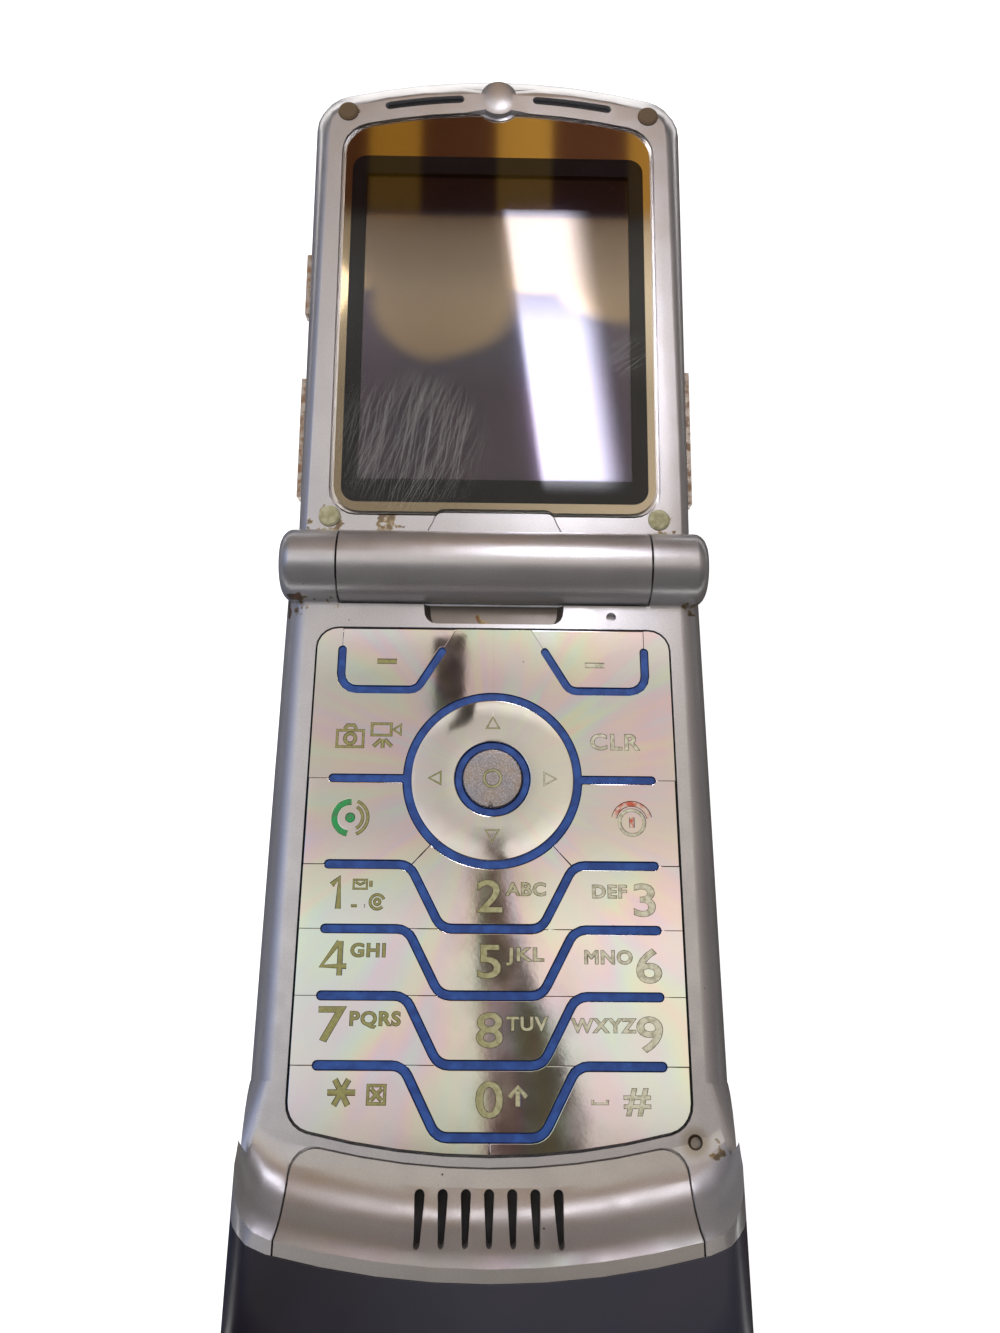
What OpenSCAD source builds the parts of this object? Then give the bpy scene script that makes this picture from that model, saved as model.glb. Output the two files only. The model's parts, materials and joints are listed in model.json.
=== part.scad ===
// Folding pocket telephone, lying on its back with the lid open.
//
// X runs across, Y from the chin to the tip of the lid, Z up. The origin is the middle of the flat back of
// the base. Every piece is drawn from the hinge axis, which is X = 0, Y = 0, Z = 0 of its own drawing, and
// at_hinge() or in_lid() then puts it in its place. In the base, Z = 0 is also the plane in which the faces
// of the base and the lid meet when the telephone is shut.

/* [Body] */
// Length of the shut telephone, from hinge barrel to chin end
length = 98; // [96:0.5:102]
// Width over the hinge knuckles
width = 53; // [52.8:0.1:54]
// Thickness of the shut telephone at the chin
thickness = 13.9; // [13.6:0.1:14.5]
// Height of the hinge axis over the back
axis_height = 7.4; // [7.3:0.1:7.6]
// Radius of the hinge barrel
barrel_r = 4.6; // [4.5:0.05:4.6]
// Width of the base between hinge and chin
base_width = 52.4; // [52:0.1:52.6]
// Width of the lid
lid_width = 50.4; // [50:0.1:50.8]

/* [Lid] */
// Angle between base and lid when open
open_angle = 171.85; // [165:0.05:175]
// Distance from the hinge axis to the tip of the lid's face
lid_tip = 69.5; // [69:0.1:69.8]
// How much farther the outer face of the lid reaches than its inner face
lid_overhang = 5.0; // [4.6:0.1:5.2]
// Half width of the window in front of the main display
lens_half_w = 21.2; // [21:0.1:21.4]
// Height of the lit area of the main display
display_h = 43.8; // [43:0.1:44]
// Width of the lit area of the main display
display_w = 35.6; // [35:0.1:36]

/* [Keypad] */
// Half width of the keypad
pad_half_w = 21.6; // [21.4:0.1:21.8]
// Distance from the hinge axis to the upper edge of the keypad
pad_top = 8.15; // [8.1:0.05:8.3]
// Distance from the hinge axis to the lowest point of the keypad
pad_end = 67.2; // [67:0.1:67.3]
// Distance from one row of keys to the next
row_pitch = 7.15; // [7.1:0.01:7.2]
// Width of a lit groove between two rows
groove_w = 1.0; // [0.9:0.05:1.1]
// Distance from the hinge axis to the middle of the steering ring
nav_y = 26.85; // [26.8:0.05:26.9]
// Outer radius of the lit ring round the steering ring
nav_r = 10.57; // [10.5:0.01:10.6]
// How far a key goes down
key_travel = 0.2; // [0.15:0.05:0.25]

/* [Chin] */
// Distance from the hinge axis to the seam above the chin cover
chin_seam = 68.3; // [68.2:0.1:68.4]
// Distance from the hinge axis to the crest of the chin
chin_crest = 76.15; // [76:0.05:76.3]
// Number of slots in front of the microphone
mic_slots = 7; // [3:2:9]
// Distance from one slot to the next
mic_pitch = 2.4; // [2.2:0.05:2.5]

/* [Hidden] */
$fn = 48;
eps = 0.01;
far = 60;

hinge_y = length / 2 - barrel_r;
base_end = length - barrel_r;
back_z = -axis_height;
crest_z = thickness - axis_height;
lid_tilt = 180 - open_angle;

// Heights in the base and in the lid, from the plane in which they meet.
face_z = -0.25;
split_z = -3.4;
tile_top = -0.3;
tile_t = 0.4;
guide_top = tile_top - tile_t - key_travel - 0.1;
guide_t = 0.55;
rib_top = -0.5;
film_z = -1.6;
board_top = -1.75;
board_t = 0.6;
door_t = 0.9;
lid_out = -(thickness - axis_height);
lid_split = -3.3;
lens_top = -0.3;
lens_t = 0.8;

// Curves across the base and the lid share one centre on the centre line, this far past the hinge axis.
arc_y = 17;

// Edges of the base.
base_hw = base_width / 2;
base_corner = 8.2;
back_round = 2.2;
shoulder = 3.0;
chin_shoulder_w = 3.4;
chin_shoulder_h = 5.5;
chin_end_fall = 10;
rim_w = 1.25;

// Clearances.
slide_gap = 0.05;
door_gap = 0.1;
barrel_gap = 0.25;
knuckle_x = 19.45;
barrel_x = 19.2;
pin_r = 1.5;
pin_gap = 0.05;

// ---------------------------------------------------------------------------------------------------------
// Helpers

// Points on an arc, from angle a0 to a1 in n steps.
function arc(c, r, a0, a1, n) = [
    for (i = [0:n])
        let (a = a0 + (a1 - a0) * i / n)
        c + r * [cos(a), sin(a)]
];

function flip_y(points) = [for (i = [len(points) - 1:-1:0]) [points[i].x, -points[i].y]];
function flip_x(points) = [for (i = [len(points) - 1:-1:0]) [-points[i].x, points[i].y]];
function reversed(points) = [for (i = [len(points) - 1:-1:0]) points[i]];

// A tongue: straight sides, a flat top edge and an end that is part of the common curve. hw is its half
// width, top its upper edge, reach how far the end lies from the hinge axis, rc and rt the corner radii, and
// cy the height of the curve's centre.
function tongue(hw, top, reach, rc, rt = 0.5, n = 5, m = 8, cy = arc_y) =
    let (
        r = cy + reach,
        xc = hw - rc,
        yc = cy - sqrt((r - rc) * (r - rc) - xc * xc),
        a = atan2(xc, cy - yc),
        da = 2 * a / m
    )
    concat(
        arc([hw - rt, top - rt], rt, 0, 90, n),
        arc([rt - hw, top - rt], rt, 90, 180, n),
        arc([-xc, yc], rc, 180, 270 - a, n),
        arc([0, cy], r, 270 - a + da, 270 + a - da, m - 2),
        arc([xc, yc], rc, 270 + a, 360, n)
    );

function unit(v) = v / norm(v);
function heading(p, i) = unit(p[min(i + 1, len(p) - 1)] - p[max(i - 1, 0)]);
function side(p, i, w) = let (t = heading(p, i)) p[i] + w / 2 * [-t.y, t.x];

// The outline of a groove of width w along the points p, with round ends.
function ribbon(p, w, n = 6) =
    let (
        last = len(p) - 1,
        t0 = heading(p, 0),
        t1 = heading(p, last),
        a0 = atan2(t0.y, t0.x),
        a1 = atan2(t1.y, t1.x),
        step = 180 / n
    )
    concat(
        [for (i = [0:last]) side(p, i, w)],
        arc(p[last], w / 2, a1 + 90 - step, a1 - 90 + step, n - 2),
        [for (i = [last:-1:0]) side(p, i, -w)],
        arc(p[0], w / 2, a0 - 90 - step, a0 - 270 + step, n - 2)
    );

// One smooth solid through a stack of outlines, each given as [height, points] or [height, points, depth].
module loft(sections) {
    hull()
        for (s = sections)
            translate([0, 0, s[0]]) linear_extrude(len(s) > 2 ? s[2] : eps) polygon(s[1]);
}

module prism(z0, z1, points) {
    translate([0, 0, z0]) linear_extrude(z1 - z0) polygon(points);
}

module block(x0, x1, y0, y1, z0, z1) {
    translate([x0, y0, z0]) cube([x1 - x0, y1 - y0, z1 - z0]);
}

// A cylinder along X.
module rod(x0, x1, r) {
    translate([x0, 0, 0]) rotate([0, 90, 0]) cylinder(h = x1 - x0, r = r);
}

module at_hinge() {
    translate([0, hinge_y, axis_height]) children();
}

// Places what is drawn flat in line with the base on the open lid.
module in_lid() {
    at_hinge() rotate([lid_tilt, 0, 0]) children();
}

// Points of a rectangle with round corners.
function round_box(x0, x1, y0, y1, r, n = 4) = concat(
    arc([x1 - r, y1 - r], r, 0, 90, n),
    arc([x0 + r, y1 - r], r, 90, 180, n),
    arc([x0 + r, y0 + r], r, 180, 270, n),
    arc([x1 - r, y0 + r], r, 270, 360, n)
);

// ---------------------------------------------------------------------------------------------------------
// The outer form of the base

// Outline of the base, drawn in by i, with its hinge end at top.
function base_outline(i, top) = tongue(base_hw - i, top, base_end - i, base_corner - i);

// The hinge end slopes down to the back.
slope_top = -2;
slope_z = -5.2;
slope_back = -6.6;
function slope_at(z) = z > slope_z ? slope_top
    : slope_top + (slope_back - slope_top) * (slope_z - z) / (slope_z - back_z);

// The base as one block as high as the chin, with a round back edge and round shoulders on the chin.
module base_block() {
    wall_top = crest_z - chin_shoulder_h;
    loft(concat(
        [for (a = [90:-30:30])
            let (z = back_z + back_round * (1 - sin(a)))
            [z, base_outline(back_round * (1 - cos(a)), slope_at(z))]],
        [[back_z + back_round, base_outline(0, slope_top), wall_top - back_z - back_round]],
        [for (a = [15:15:90])
            let (fall = 1 - cos(a))
            [wall_top + chin_shoulder_h * sin(a) - eps,
             tongue(base_hw - chin_shoulder_w * fall, slope_top, base_end - chin_end_fall * fall,
                    base_corner - chin_shoulder_w * fall)]]
    ));
}

// What the shoulder beside the keypad takes off the right edge of the block. Towards the chin the round runs
// out sideways, from blend_start to blend_end.
blend_start = -60;
blend_end = -70;
module shoulder_profile(from, to) {
    c = [base_hw - shoulder, face_z - shoulder];
    out = shoulder + 1;
    profile = concat([c + [0, out]], arc(c, shoulder, 90, 0, 6), [c + [out, 0], c + [out, out]]);
    translate([0, from, 0]) rotate([90, 0, 0]) linear_extrude(from - to) polygon(profile);
}

module shoulder_cut() {
    run_out = shoulder / (blend_start - blend_end);
    shoulder_profile(5, blend_start);
    multmatrix([[1, -run_out, 0, run_out * blend_start], [0, 1, 0, 0], [0, 0, 1, 0], [0, 0, 0, 1]])
        shoulder_profile(blend_start + eps, blend_end);
}

// The hollow in which the tip of the lid lies: a concave slope from the face of the base to the crest,
// going round both corners. grow moves the slope outwards and down, to give a wall its thickness.
slope_end = 72;
slope_start = chin_seam + 0.3;
slope_run = (chin_crest - slope_start) / sin(slope_end);
slope_rise = (crest_z - face_z) / (1 - cos(slope_end));
hollow_hw = [27.4, 26.6];
hollow_rc = [8, 7];
hollow_top = 20;
function hollow_outline(t, grow) =
    let (
        k = t / slope_end,
        hw = hollow_hw[0] + (hollow_hw[1] - hollow_hw[0]) * k,
        rc = hollow_rc[0] + (hollow_rc[1] - hollow_rc[0]) * k
    )
    tongue(hw + grow, hollow_top, slope_start + slope_run * sin(t) + grow, rc + grow);

module hollow(grow = 0) {
    loft([for (t = [0:12:slope_end])
        [face_z + slope_rise * (1 - cos(t)) - grow, hollow_outline(t, grow), t == slope_end ? 2 + grow : eps]
    ]);
}

// Line between the bright rim of the chin and the dark cap behind it.
rim_outline = tongue(hollow_hw[1] + rim_w, hollow_top, chin_crest + rim_w, hollow_rc[1] + rim_w);

// Outline of the chin cover: its upper edge is on the common curve, with round corners.
cover_hw = 21;
cover_corner = 2.5;
cover_gap = 0.18;
function cover_outline(i = 0) =
    let (
        r = arc_y + chin_seam + i,
        hw = cover_hw - i,
        xc = hw - cover_corner,
        yc = arc_y - sqrt((r + cover_corner) * (r + cover_corner) - xc * xc),
        a = atan2(xc, arc_y - yc),
        m = 8,
        da = 2 * a / m
    )
    concat(
        arc([0, arc_y], r, 270 - a, 270 + a, m),
        arc([xc, yc], cover_corner, 90 + a - 15, 0, 5),
        [[hw, -length], [-hw, -length]],
        arc([-xc, yc], cover_corner, 180, 90 - a + 15, 5)
    );

// ---------------------------------------------------------------------------------------------------------
// Base: housings

pad_corner = 3;
pad_top_corner = 2.5;
pad_gap = 0.22;
function pad_outline(i = 0) =
    tongue(pad_half_w - i, -pad_top - i, pad_end - i, pad_corner - i, pad_top_corner - i);

board_hw = 23;
board_outline = tongue(board_hw, -10.4, 66, 4, 1);
board_space = tongue(board_hw + 0.2, -10.2, 66.2, 4.2, 1.2);

bay = [18.3, -12.8, -58.6];
door = [20.6, -10.4, -60];
function door_outline(grow = 0) =
    round_box(-door[0] - grow, door[0] + grow, door[2] - grow, door[1] + grow, 2 + grow);

// Socket in the left side: its place, width, height and upper face.
usb_y = -20;
usb_w = 7.7;
usb_h = 3.9;
usb_top = -2.45;
usb_room = [usb_y - usb_w / 2 - 0.1, usb_y + usb_w / 2 + 0.1];

screw_x = 22.4;
screw_y = [-8.4, -69.4];
screw_hole_r = 0.7;

// Room for the vibration motor: left, right, lower end, upper end and top.
motor_room = [5, 17.2, -74.2, -69.6, -2.4];
speaker_at = [-11, -69.6];
mic_at = [0, -72.4];

// The recess into which the tab of the lid folds, drawn in by i; its walls lean out.
function tab_pocket(i) = concat(
    [[8.9 - i, -4.0]], arc([7.2 - i, -5.9], 1.5, 10, -90, 4), arc([i - 7.2, -5.9], 1.5, -90, -190, 4),
    [[i - 8.9, -4.0]]
);
tab_outline = concat(
    [[8.3, 4.0], [8.2, 5.0]], arc([6.6, 6.1], 1.0, 0, 90, 4),
    arc([-6.6, 6.1], 1.0, 90, 180, 4), [[-8.2, 5.0], [-8.3, 4.0]]
);
tab_gap = 0.3;
tab_rise = 0.35;

// Small round holes in the face, one beside the tab and one beside the chin.
face_holes = [[14.6, -6.3], [21.9, -65.9]];
face_hole_r = 0.6;

module knuckle(s) {
    end = width / 2;
    round = 1.6;
    mirror([s < 0 ? 1 : 0, 0, 0])
        rotate([90, 0, 90])
            rotate_extrude()
                polygon(concat(
                    [[0, knuckle_x], [barrel_r, knuckle_x]],
                    arc([barrel_r - round, end - round], round, 0, 90, 5),
                    [[0, end]]
                ));
}

module speaker_slots() {
    for (i = [0:4])
        prism(back_z - 1, back_z + 2, round_box(-15, -7, -66 - i * 1.8, -65.2 - i * 1.8, 0.39));
}

module front_housing() {
    color("#b9b4b4")
    at_hinge()
    difference() {
        union() {
            difference() {
                intersection() {
                    base_block();
                    prism(split_z, crest_z + 1, rim_outline);
                }
                both_sides() shoulder_cut();
                hollow();
            }
            knuckle(1);
            knuckle(-1);
        }
        // Room for the barrel of the lid.
        rod(-knuckle_x, knuckle_x, barrel_r + barrel_gap);
        // Keypad, board and what is under the chin cover.
        prism(-2, 2, pad_outline(-pad_gap));
        prism(split_z - 1, -1.55, board_space);
        intersection() {
            prism(-far, far, cover_outline());
            hollow(rim_w);
        }
        block(-9.6, 9.6, -75.6, -69.6, split_z - 1, crest_z);
        block(motor_room[0], motor_room[1], motor_room[2], motor_room[3], split_z - 1, motor_room[4]);
        loft([[-1.35, tab_pocket(0.8)], [face_z + 0.1, tab_pocket(0)]]);
        // Hinge bores.
        rod(-25.4, -knuckle_x + 1, 2.85);
        rod(knuckle_x - 1, 25.4, pin_r);
        for (h = face_holes)
            translate([h.x, h.y, -1.3]) cylinder(h = 3, r = face_hole_r);
        for (x = [-screw_x, screw_x], y = screw_y)
            translate([x, y, split_z - 1]) cylinder(h = 2.2, r = screw_hole_r);
        block(-far, -board_hw + 1, usb_room[0], usb_room[1], split_z - 1, usb_top + 0.05);
    }
}

module rear_housing() {
    color("#a7a3a6")
    at_hinge()
    difference() {
        intersection() {
            base_block();
            prism(back_z - 1, split_z, rim_outline);
        }
        rod(-far, far, barrel_r + barrel_gap);
        // Battery bay, the seat of its door and the two undercuts for the door's tabs.
        block(-bay[0], bay[0], bay[2], bay[1], back_z - 1, split_z + 1);
        prism(back_z - 1, back_z + door_t + 0.05, door_outline(door_gap));
        for (x = [-12, 12])
            block(x - 2.3, x + 2.3, door[1] - 0.2, door[1] + 1.3, back_z + 0.35, back_z + 1.75);
        // Latch slot.
        prism(back_z - 1, back_z + 1.4, round_box(-3.65, 3.65, -65.2, -61.3, 1.4));
        // Chin: loudspeaker, vibration motor and the loudspeaker's slots.
        translate([speaker_at.x, speaker_at.y, back_z + 1]) cylinder(h = 6, r = 6.1);
        block(motor_room[0], motor_room[1], motor_room[2], motor_room[3], back_z + 1, split_z + 1);
        speaker_slots();
        // Socket in the left side.
        block(-far, -bay[0] + 0.1, usb_room[0], usb_room[1], usb_top - usb_h - 0.1, split_z + 1);
        for (x = [-screw_x, screw_x], y = screw_y) {
            translate([x, y, back_z - 1]) cylinder(h = 2.1, r = 1.35);
            translate([x, y, back_z]) cylinder(h = 6, r = screw_hole_r);
        }
    }
}

// Slot in front of the microphone, narrower towards the crest: width and place of its lower and upper end.
mic_slot_w = [0.6, 1.05];
mic_slot_y = [-74.7, -70.8];
module mic_slot_2d() {
    hull()
        for (i = [0, 1])
            translate([0, mic_slot_y[i]]) circle(d = mic_slot_w[i], $fn = 16);
}

module chin_cover() {
    color("#a09a9c")
    at_hinge()
    difference() {
        intersection() {
            base_block();
            prism(-far, far, cover_outline(cover_gap));
            hollow(rim_w);
        }
        hollow();
        for (i = [0:mic_slots - 1])
            translate([(i - (mic_slots - 1) / 2) * mic_pitch, 0, -5]) linear_extrude(15) mic_slot_2d();
    }
}

module microphone_mesh() {
    color("#2b2829")
    at_hinge()
    difference() {
        intersection() {
            prism(-far, far, round_box(-9.2, 9.2, -75.4, -70, 0.5));
            hollow(rim_w + 0.6);
        }
        hollow(rim_w);
    }
}

module antenna_cap() {
    color("#2d2c38")
    at_hinge()
    difference() {
        base_block();
        prism(-far, far, rim_outline);
        block(-20, 20, -90.4, -80, back_z + 1.5, 3.2);
    }
}

// ---------------------------------------------------------------------------------------------------------
// Base: what is inside

module antenna() {
    color("#c9b27a")
    at_hinge()
    difference() {
        block(-19, 19, -90, -81, -5.9, 2.8);
        block(-18.7, 18.7, -91, -80.7, -5.6, 2.5);
        block(-3, 30, -91, -80, -7, 1);
        block(4, 12, -88, -83, 0, 5);
    }
}

module main_board() {
    color("#2f6b45")
    at_hinge()
    difference() {
        prism(board_top - board_t, board_top, board_outline);
        for (x = [-20, 20]) translate([x, -13, -5]) cylinder(h = 6, r = 1);
    }
}

module shield_can() {
    color("#b8bcc0")
    at_hinge()
    prism(split_z, board_top - board_t, round_box(-17, 17, -63.9, -59.2, 0.6));
}

module sim_holder() {
    color("#c4c6c8")
    at_hinge()
    difference() {
        block(-16, 0, -56, -30, board_top - board_t - 0.5, board_top - board_t);
        block(-14.5, -1.5, -57, -33, board_top - board_t - 1, board_top - board_t - 0.15);
    }
}

module battery() {
    color("#4a4d55")
    at_hinge()
    prism(back_z + door_t + 0.1, board_top - board_t - 0.6,
          round_box(-bay[0] + 0.25, bay[0] - 0.25, bay[2] + 0.3, bay[1] - 0.3, 1.2));
}

module battery_door() {
    color("#a7a3a6")
    at_hinge() {
        prism(back_z, back_z + door_t, door_outline());
        for (x = [-12, 12])
            block(x - 2, x + 2, door[1] - 0.6, door[1] + 1, back_z + 0.45, back_z + 0.85);
    }
}

module battery_latch() {
    color("#8f8c90")
    at_hinge()
    difference() {
        prism(back_z + 0.1, back_z + 1.3, round_box(-3.5, 3.5, -64, -61.5, 1.2));
        for (y = [-63.4, -62.75, -62.1]) block(-2, 2, y - 0.12, y + 0.12, back_z, back_z + 0.3);
    }
}

module loudspeaker() {
    color("#3a3a3c")
    at_hinge()
    translate([speaker_at.x, speaker_at.y, back_z + 1.05]) difference() {
        cylinder(h = 2.8, r = 5.9);
        translate([0, 0, 2.3]) cylinder(h = 1, r = 4.4);
    }
}

module microphone() {
    color("#b0a890")
    at_hinge()
    translate([mic_at.x, mic_at.y, split_z]) cylinder(h = 1.2, r = 2);
}

module vibration_motor() {
    color("#9aa0a6")
    at_hinge()
    translate([0, -71.9, back_z + 3]) {
        rod(9, 17, 1.9);
        rod(8.2, 9, 0.4);
        intersection() {
            rod(5.4, 8.2, 1.9);
            block(5, 9, -3, 3, -3, 0.3);
        }
    }
}

// A shell of sheet metal, open to the left, with a tongue in its middle.
module usb_socket() {
    wall = 0.4;
    mid_z = usb_top - usb_h / 2;
    color("#b9bdc2")
    at_hinge()
    translate([0, usb_y, 0])
    difference() {
        block(-26, -18.8, -usb_w / 2, usb_w / 2, usb_top - usb_h, usb_top);
        difference() {
            block(-far, -19.3, wall - usb_w / 2, usb_w / 2 - wall, usb_top - usb_h + wall, usb_top - wall);
            block(-24.6, -18, -2.6, 2.6, mid_z - 0.1, mid_z + 0.6);
        }
    }
}

module hinge_cam() {
    color("#8d8f92")
    at_hinge() {
        rod(-25.3, -knuckle_x - 0.1, 2.8);
        rod(-knuckle_x - 0.2, -14, pin_r);
    }
}

module hinge_pin() {
    color("#8d8f92")
    at_hinge()
    rod(14, 25.3, pin_r);
}

module case_screws() {
    color("#6b6d70")
    at_hinge()
    for (x = [-screw_x, screw_x], y = screw_y)
        translate([x, y, back_z]) difference() {
            union() {
                translate([0, 0, 0.3]) cylinder(h = 0.8, r = 1.3);
                translate([0, 0, 1]) cylinder(h = 4.1, r = screw_hole_r - slide_gap);
            }
            cylinder(h = 0.8, r = 0.6, $fn = 6);
        }
}

// ---------------------------------------------------------------------------------------------------------
// Keypad. A row groove starts at the left edge, goes down a slope to its trough and up again to the right.

groove_half = 18.7;
bend_a = 62;
bend_r = 2;
trough_half = 4.46;
trough_depth = 7.1;
slant = (trough_depth - 2 * bend_r * (1 - cos(bend_a))) / sin(bend_a);
bend_x = trough_half + 2 * bend_r * sin(bend_a) + slant * cos(bend_a);
first_row = -36.95;
rows = 4;

function row_y(n) = first_row - n * row_pitch;
function half_groove(y, end) = concat(
    [[-end, y]],
    arc([-bend_x, y - bend_r], bend_r, 90, 90 - bend_a, 4),
    arc([-trough_half, y - trough_depth + bend_r], bend_r, 270 - bend_a, 270, 4)
);
function row_groove(n, end = groove_half) =
    let (h = half_groove(row_y(n), end)) concat(h, flip_x(h));

// The groove round a soft key, on the left.
soft_x = 18.55;
soft_start = -10.9;
soft_end = [-6.3, -11.0];
function soft_groove() = concat(
    [[-soft_x, soft_start]],
    arc([2 - soft_x, -14], 2, 180, 270, 4),
    arc([-10.15, -14.5], 1.5, 270, 329, 3),
    [soft_end]
);
soft_bridge = [-4.6, -8.15];

side_groove = [[-18.8, -26.9], [-9.9, -26.9]];
hair = 0.06;

module both_sides() {
    children();
    mirror([1, 0, 0]) children();
}

// All lit grooves, each w wide.
module grooves_2d(w) {
    for (n = [0:rows - 1]) polygon(ribbon(row_groove(n), w));
    both_sides() {
        polygon(ribbon(soft_groove(), w));
        polygon(ribbon(side_groove, w));
    }
}

module hairline(a, b) {
    d = b - a;
    translate(a) rotate(atan2(d.y, d.x)) translate([0, -hair / 2]) square([norm(d), hair]);
}

// The hairlines that part one key from the next where no groove runs.
module hairlines_2d() {
    hairline([0, -7], [0, -nav_y]);
    hairline([0, row_y(rows - 1) - trough_depth], [0, -70]);
    both_sides() {
        hairline([-soft_x, -7], [-soft_x, soft_start]);
        hairline(soft_bridge, soft_end);
        hairline([-23, -26.9], [-18, -26.9]);
        hairline([-bend_x + 1.2, row_y(0) - 0.3], [0, -nav_y]);
        for (n = [0:rows - 1]) hairline([-23, row_y(n)], [-18, row_y(n)]);
        for (n = [0:rows - 2])
            let (y = row_y(n) - trough_depth) hairline([1 - bend_x, y], [-trough_half - 0.8, y]);
    }
}

module pad_2d() {
    difference() {
        polygon(pad_outline());
        grooves_2d(groove_w);
        hairlines_2d();
        translate([0, -nav_y]) circle(nav_r);
    }
}

// The part of the keypad inside the outline that is given, as a key.
module key_tile(points) {
    color("#c9c4bd")
    at_hinge()
    translate([0, 0, tile_top - tile_t]) linear_extrude(tile_t)
        intersection() {
            pad_2d();
            polygon(points);
        }
}

module mirrored_tile(points) {
    key_tile(flip_x(points));
}

soft_area = concat([[-soft_x, -7]], soft_groove(), [soft_bridge, [soft_bridge.x, -7]]);
camera_area = concat(
    [[-30, -26.9], [0, -26.9], [0, -7], [soft_bridge.x, -7], soft_bridge],
    reversed(soft_groove()), [[-soft_x, -7], [-30, -7]]
);
parting_x = bend_x - 1.2;
send_area = concat(
    [[-30, -26.9], [0, -26.9]], [[-parting_x, row_y(0) - 0.3], [-bend_x, row_y(0)], [-30, row_y(0)]]
);
function outer_area(n) = concat(
    half_groove(row_y(n), 30),
    [[-trough_half, row_y(n) - trough_depth], [-bend_x, row_y(n) - trough_depth], [-30, row_y(n + 1)]]
);
function middle_area(n) =
    let (
        top = row_y(n) - trough_depth,
        lower = [for (p = half_groove(row_y(n + 1), 30)) if (p.x > -bend_x - 0.1) p]
    )
    concat([[-bend_x, top]], lower, flip_x(lower), [[bend_x, top]]);
key_2_area = concat(
    [[-parting_x, row_y(0) - 0.3]],
    [for (p = half_groove(row_y(0), 30)) if (p.x > -parting_x) p],
    flip_x([for (p = half_groove(row_y(0), 30)) if (p.x > -parting_x) p]),
    [[parting_x, row_y(0) - 0.3], [0, -nav_y]]
);
star_area = concat(
    half_groove(row_y(rows - 1), 30), [[0, row_y(rows - 1) - trough_depth], [0, -70], [-30, -70]]
);

// The sheet that lights the keypad: a plate with ribs that fill the grooves.
module keypad_backlight() {
    color("#2f5aa8")
    at_hinge() {
        difference() {
            prism(guide_top - guide_t, guide_top, pad_outline(0.05));
            translate([0, -nav_y, guide_top - 0.4]) cylinder(h = 1, r = nav_r - groove_w - 0.1);
        }
        translate([0, 0, guide_top - eps]) linear_extrude(rib_top - guide_top + eps)
            difference() {
                union() {
                    grooves_2d(groove_w - 2 * slide_gap);
                    translate([0, -nav_y]) circle(nav_r - slide_gap);
                }
                translate([0, -nav_y]) circle(nav_r - groove_w - 0.1);
            }
        translate([0, -nav_y, guide_top - guide_t]) difference() {
            cylinder(h = rib_top - guide_top + guide_t, r = 4.39);
            translate([0, 0, guide_t - 0.4]) cylinder(h = 2, r = 3.62);
        }
    }
}

// Middle of the metal dome under each key.
dome_places = concat(
    [for (x = [-12.4, 12.4]) [x, -12.6]], [for (x = [-15.5, 15.5], y = [-21.8, -31.8]) [x, y]],
    [for (n = [0:3], x = [-15.5, 0, 15.5]) [x, row_y(n) - 3.6]],
    [for (a = [0:90:270]) [6.8 * cos(a), -nav_y + 6.8 * sin(a)]], [[0, -nav_y]]
);

module dome_sheet() {
    color("#d9d4c0")
    at_hinge() {
        prism(board_top, film_z, pad_outline(0.4));
        for (p = dome_places)
            translate([p.x, p.y, board_top]) cylinder(h = guide_top - guide_t - board_top, r = 2, $fn = 16);
    }
}

nav_ring_r = nav_r - groove_w - 0.14;
nav_hole_r = 4.46;
nav_bottom = -0.75;

module nav_support() {
    color("#8a8f98")
    at_hinge()
    translate([0, -nav_y, -1.2]) difference() {
        cylinder(h = 0.25, r = 8.4);
        translate([0, 0, -1]) cylinder(h = 2, r = nav_hole_r + 0.1);
    }
}

// The steering ring, slightly crowned, with a round outer and inner edge.
module nav_ring() {
    crown = 0.12;
    edge = 0.18;
    color("#d2cec8")
    at_hinge()
    translate([0, -nav_y, 0])
        rotate_extrude($fn = 96)
            polygon([
                [nav_hole_r, nav_bottom], [nav_ring_r, nav_bottom], [nav_ring_r, tile_top - edge / 2],
                [nav_ring_r - edge / 2, tile_top], [nav_ring_r - 1, tile_top + crown / 2],
                [nav_ring_r - 2.4, tile_top + crown], [nav_hole_r + 1.4, tile_top + crown],
                [nav_hole_r + edge / 2, tile_top + crown / 2], [nav_hole_r, tile_top]
            ]);
}

module select_key() {
    color("#bdb9b6")
    at_hinge()
    translate([0, -nav_y, 0])
        rotate_extrude($fn = 64)
            polygon([
                [0, -1.1], [1.2, -1.1], [1.2, nav_bottom], [3.55, nav_bottom], [3.55, tile_top],
                [3.4, tile_top + 0.1], [2.4, tile_top + 0.15], [0, tile_top + 0.15]
            ]);
}

// ---------------------------------------------------------------------------------------------------------
// Lid, drawn flat in line with the base: Y is the distance from the hinge axis, Z = 0 is the meeting plane.

lid_hw = lid_width / 2;
lid_corner = 5.2;
lid_arc_shift = 6;
lid_end = 2;
lid_slope_back = 6.4;

// Outline of the lid, drawn in by i, where the tip lies out by more than at the inner face. The farther out,
// the rounder its end.
function lid_outline(i, start, more = 0) =
    flip_y(tongue(lid_hw - i, -start - eps, lid_tip + more - i, lid_corner,
                  cy = arc_y - lid_arc_shift * more / lid_overhang));

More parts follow.
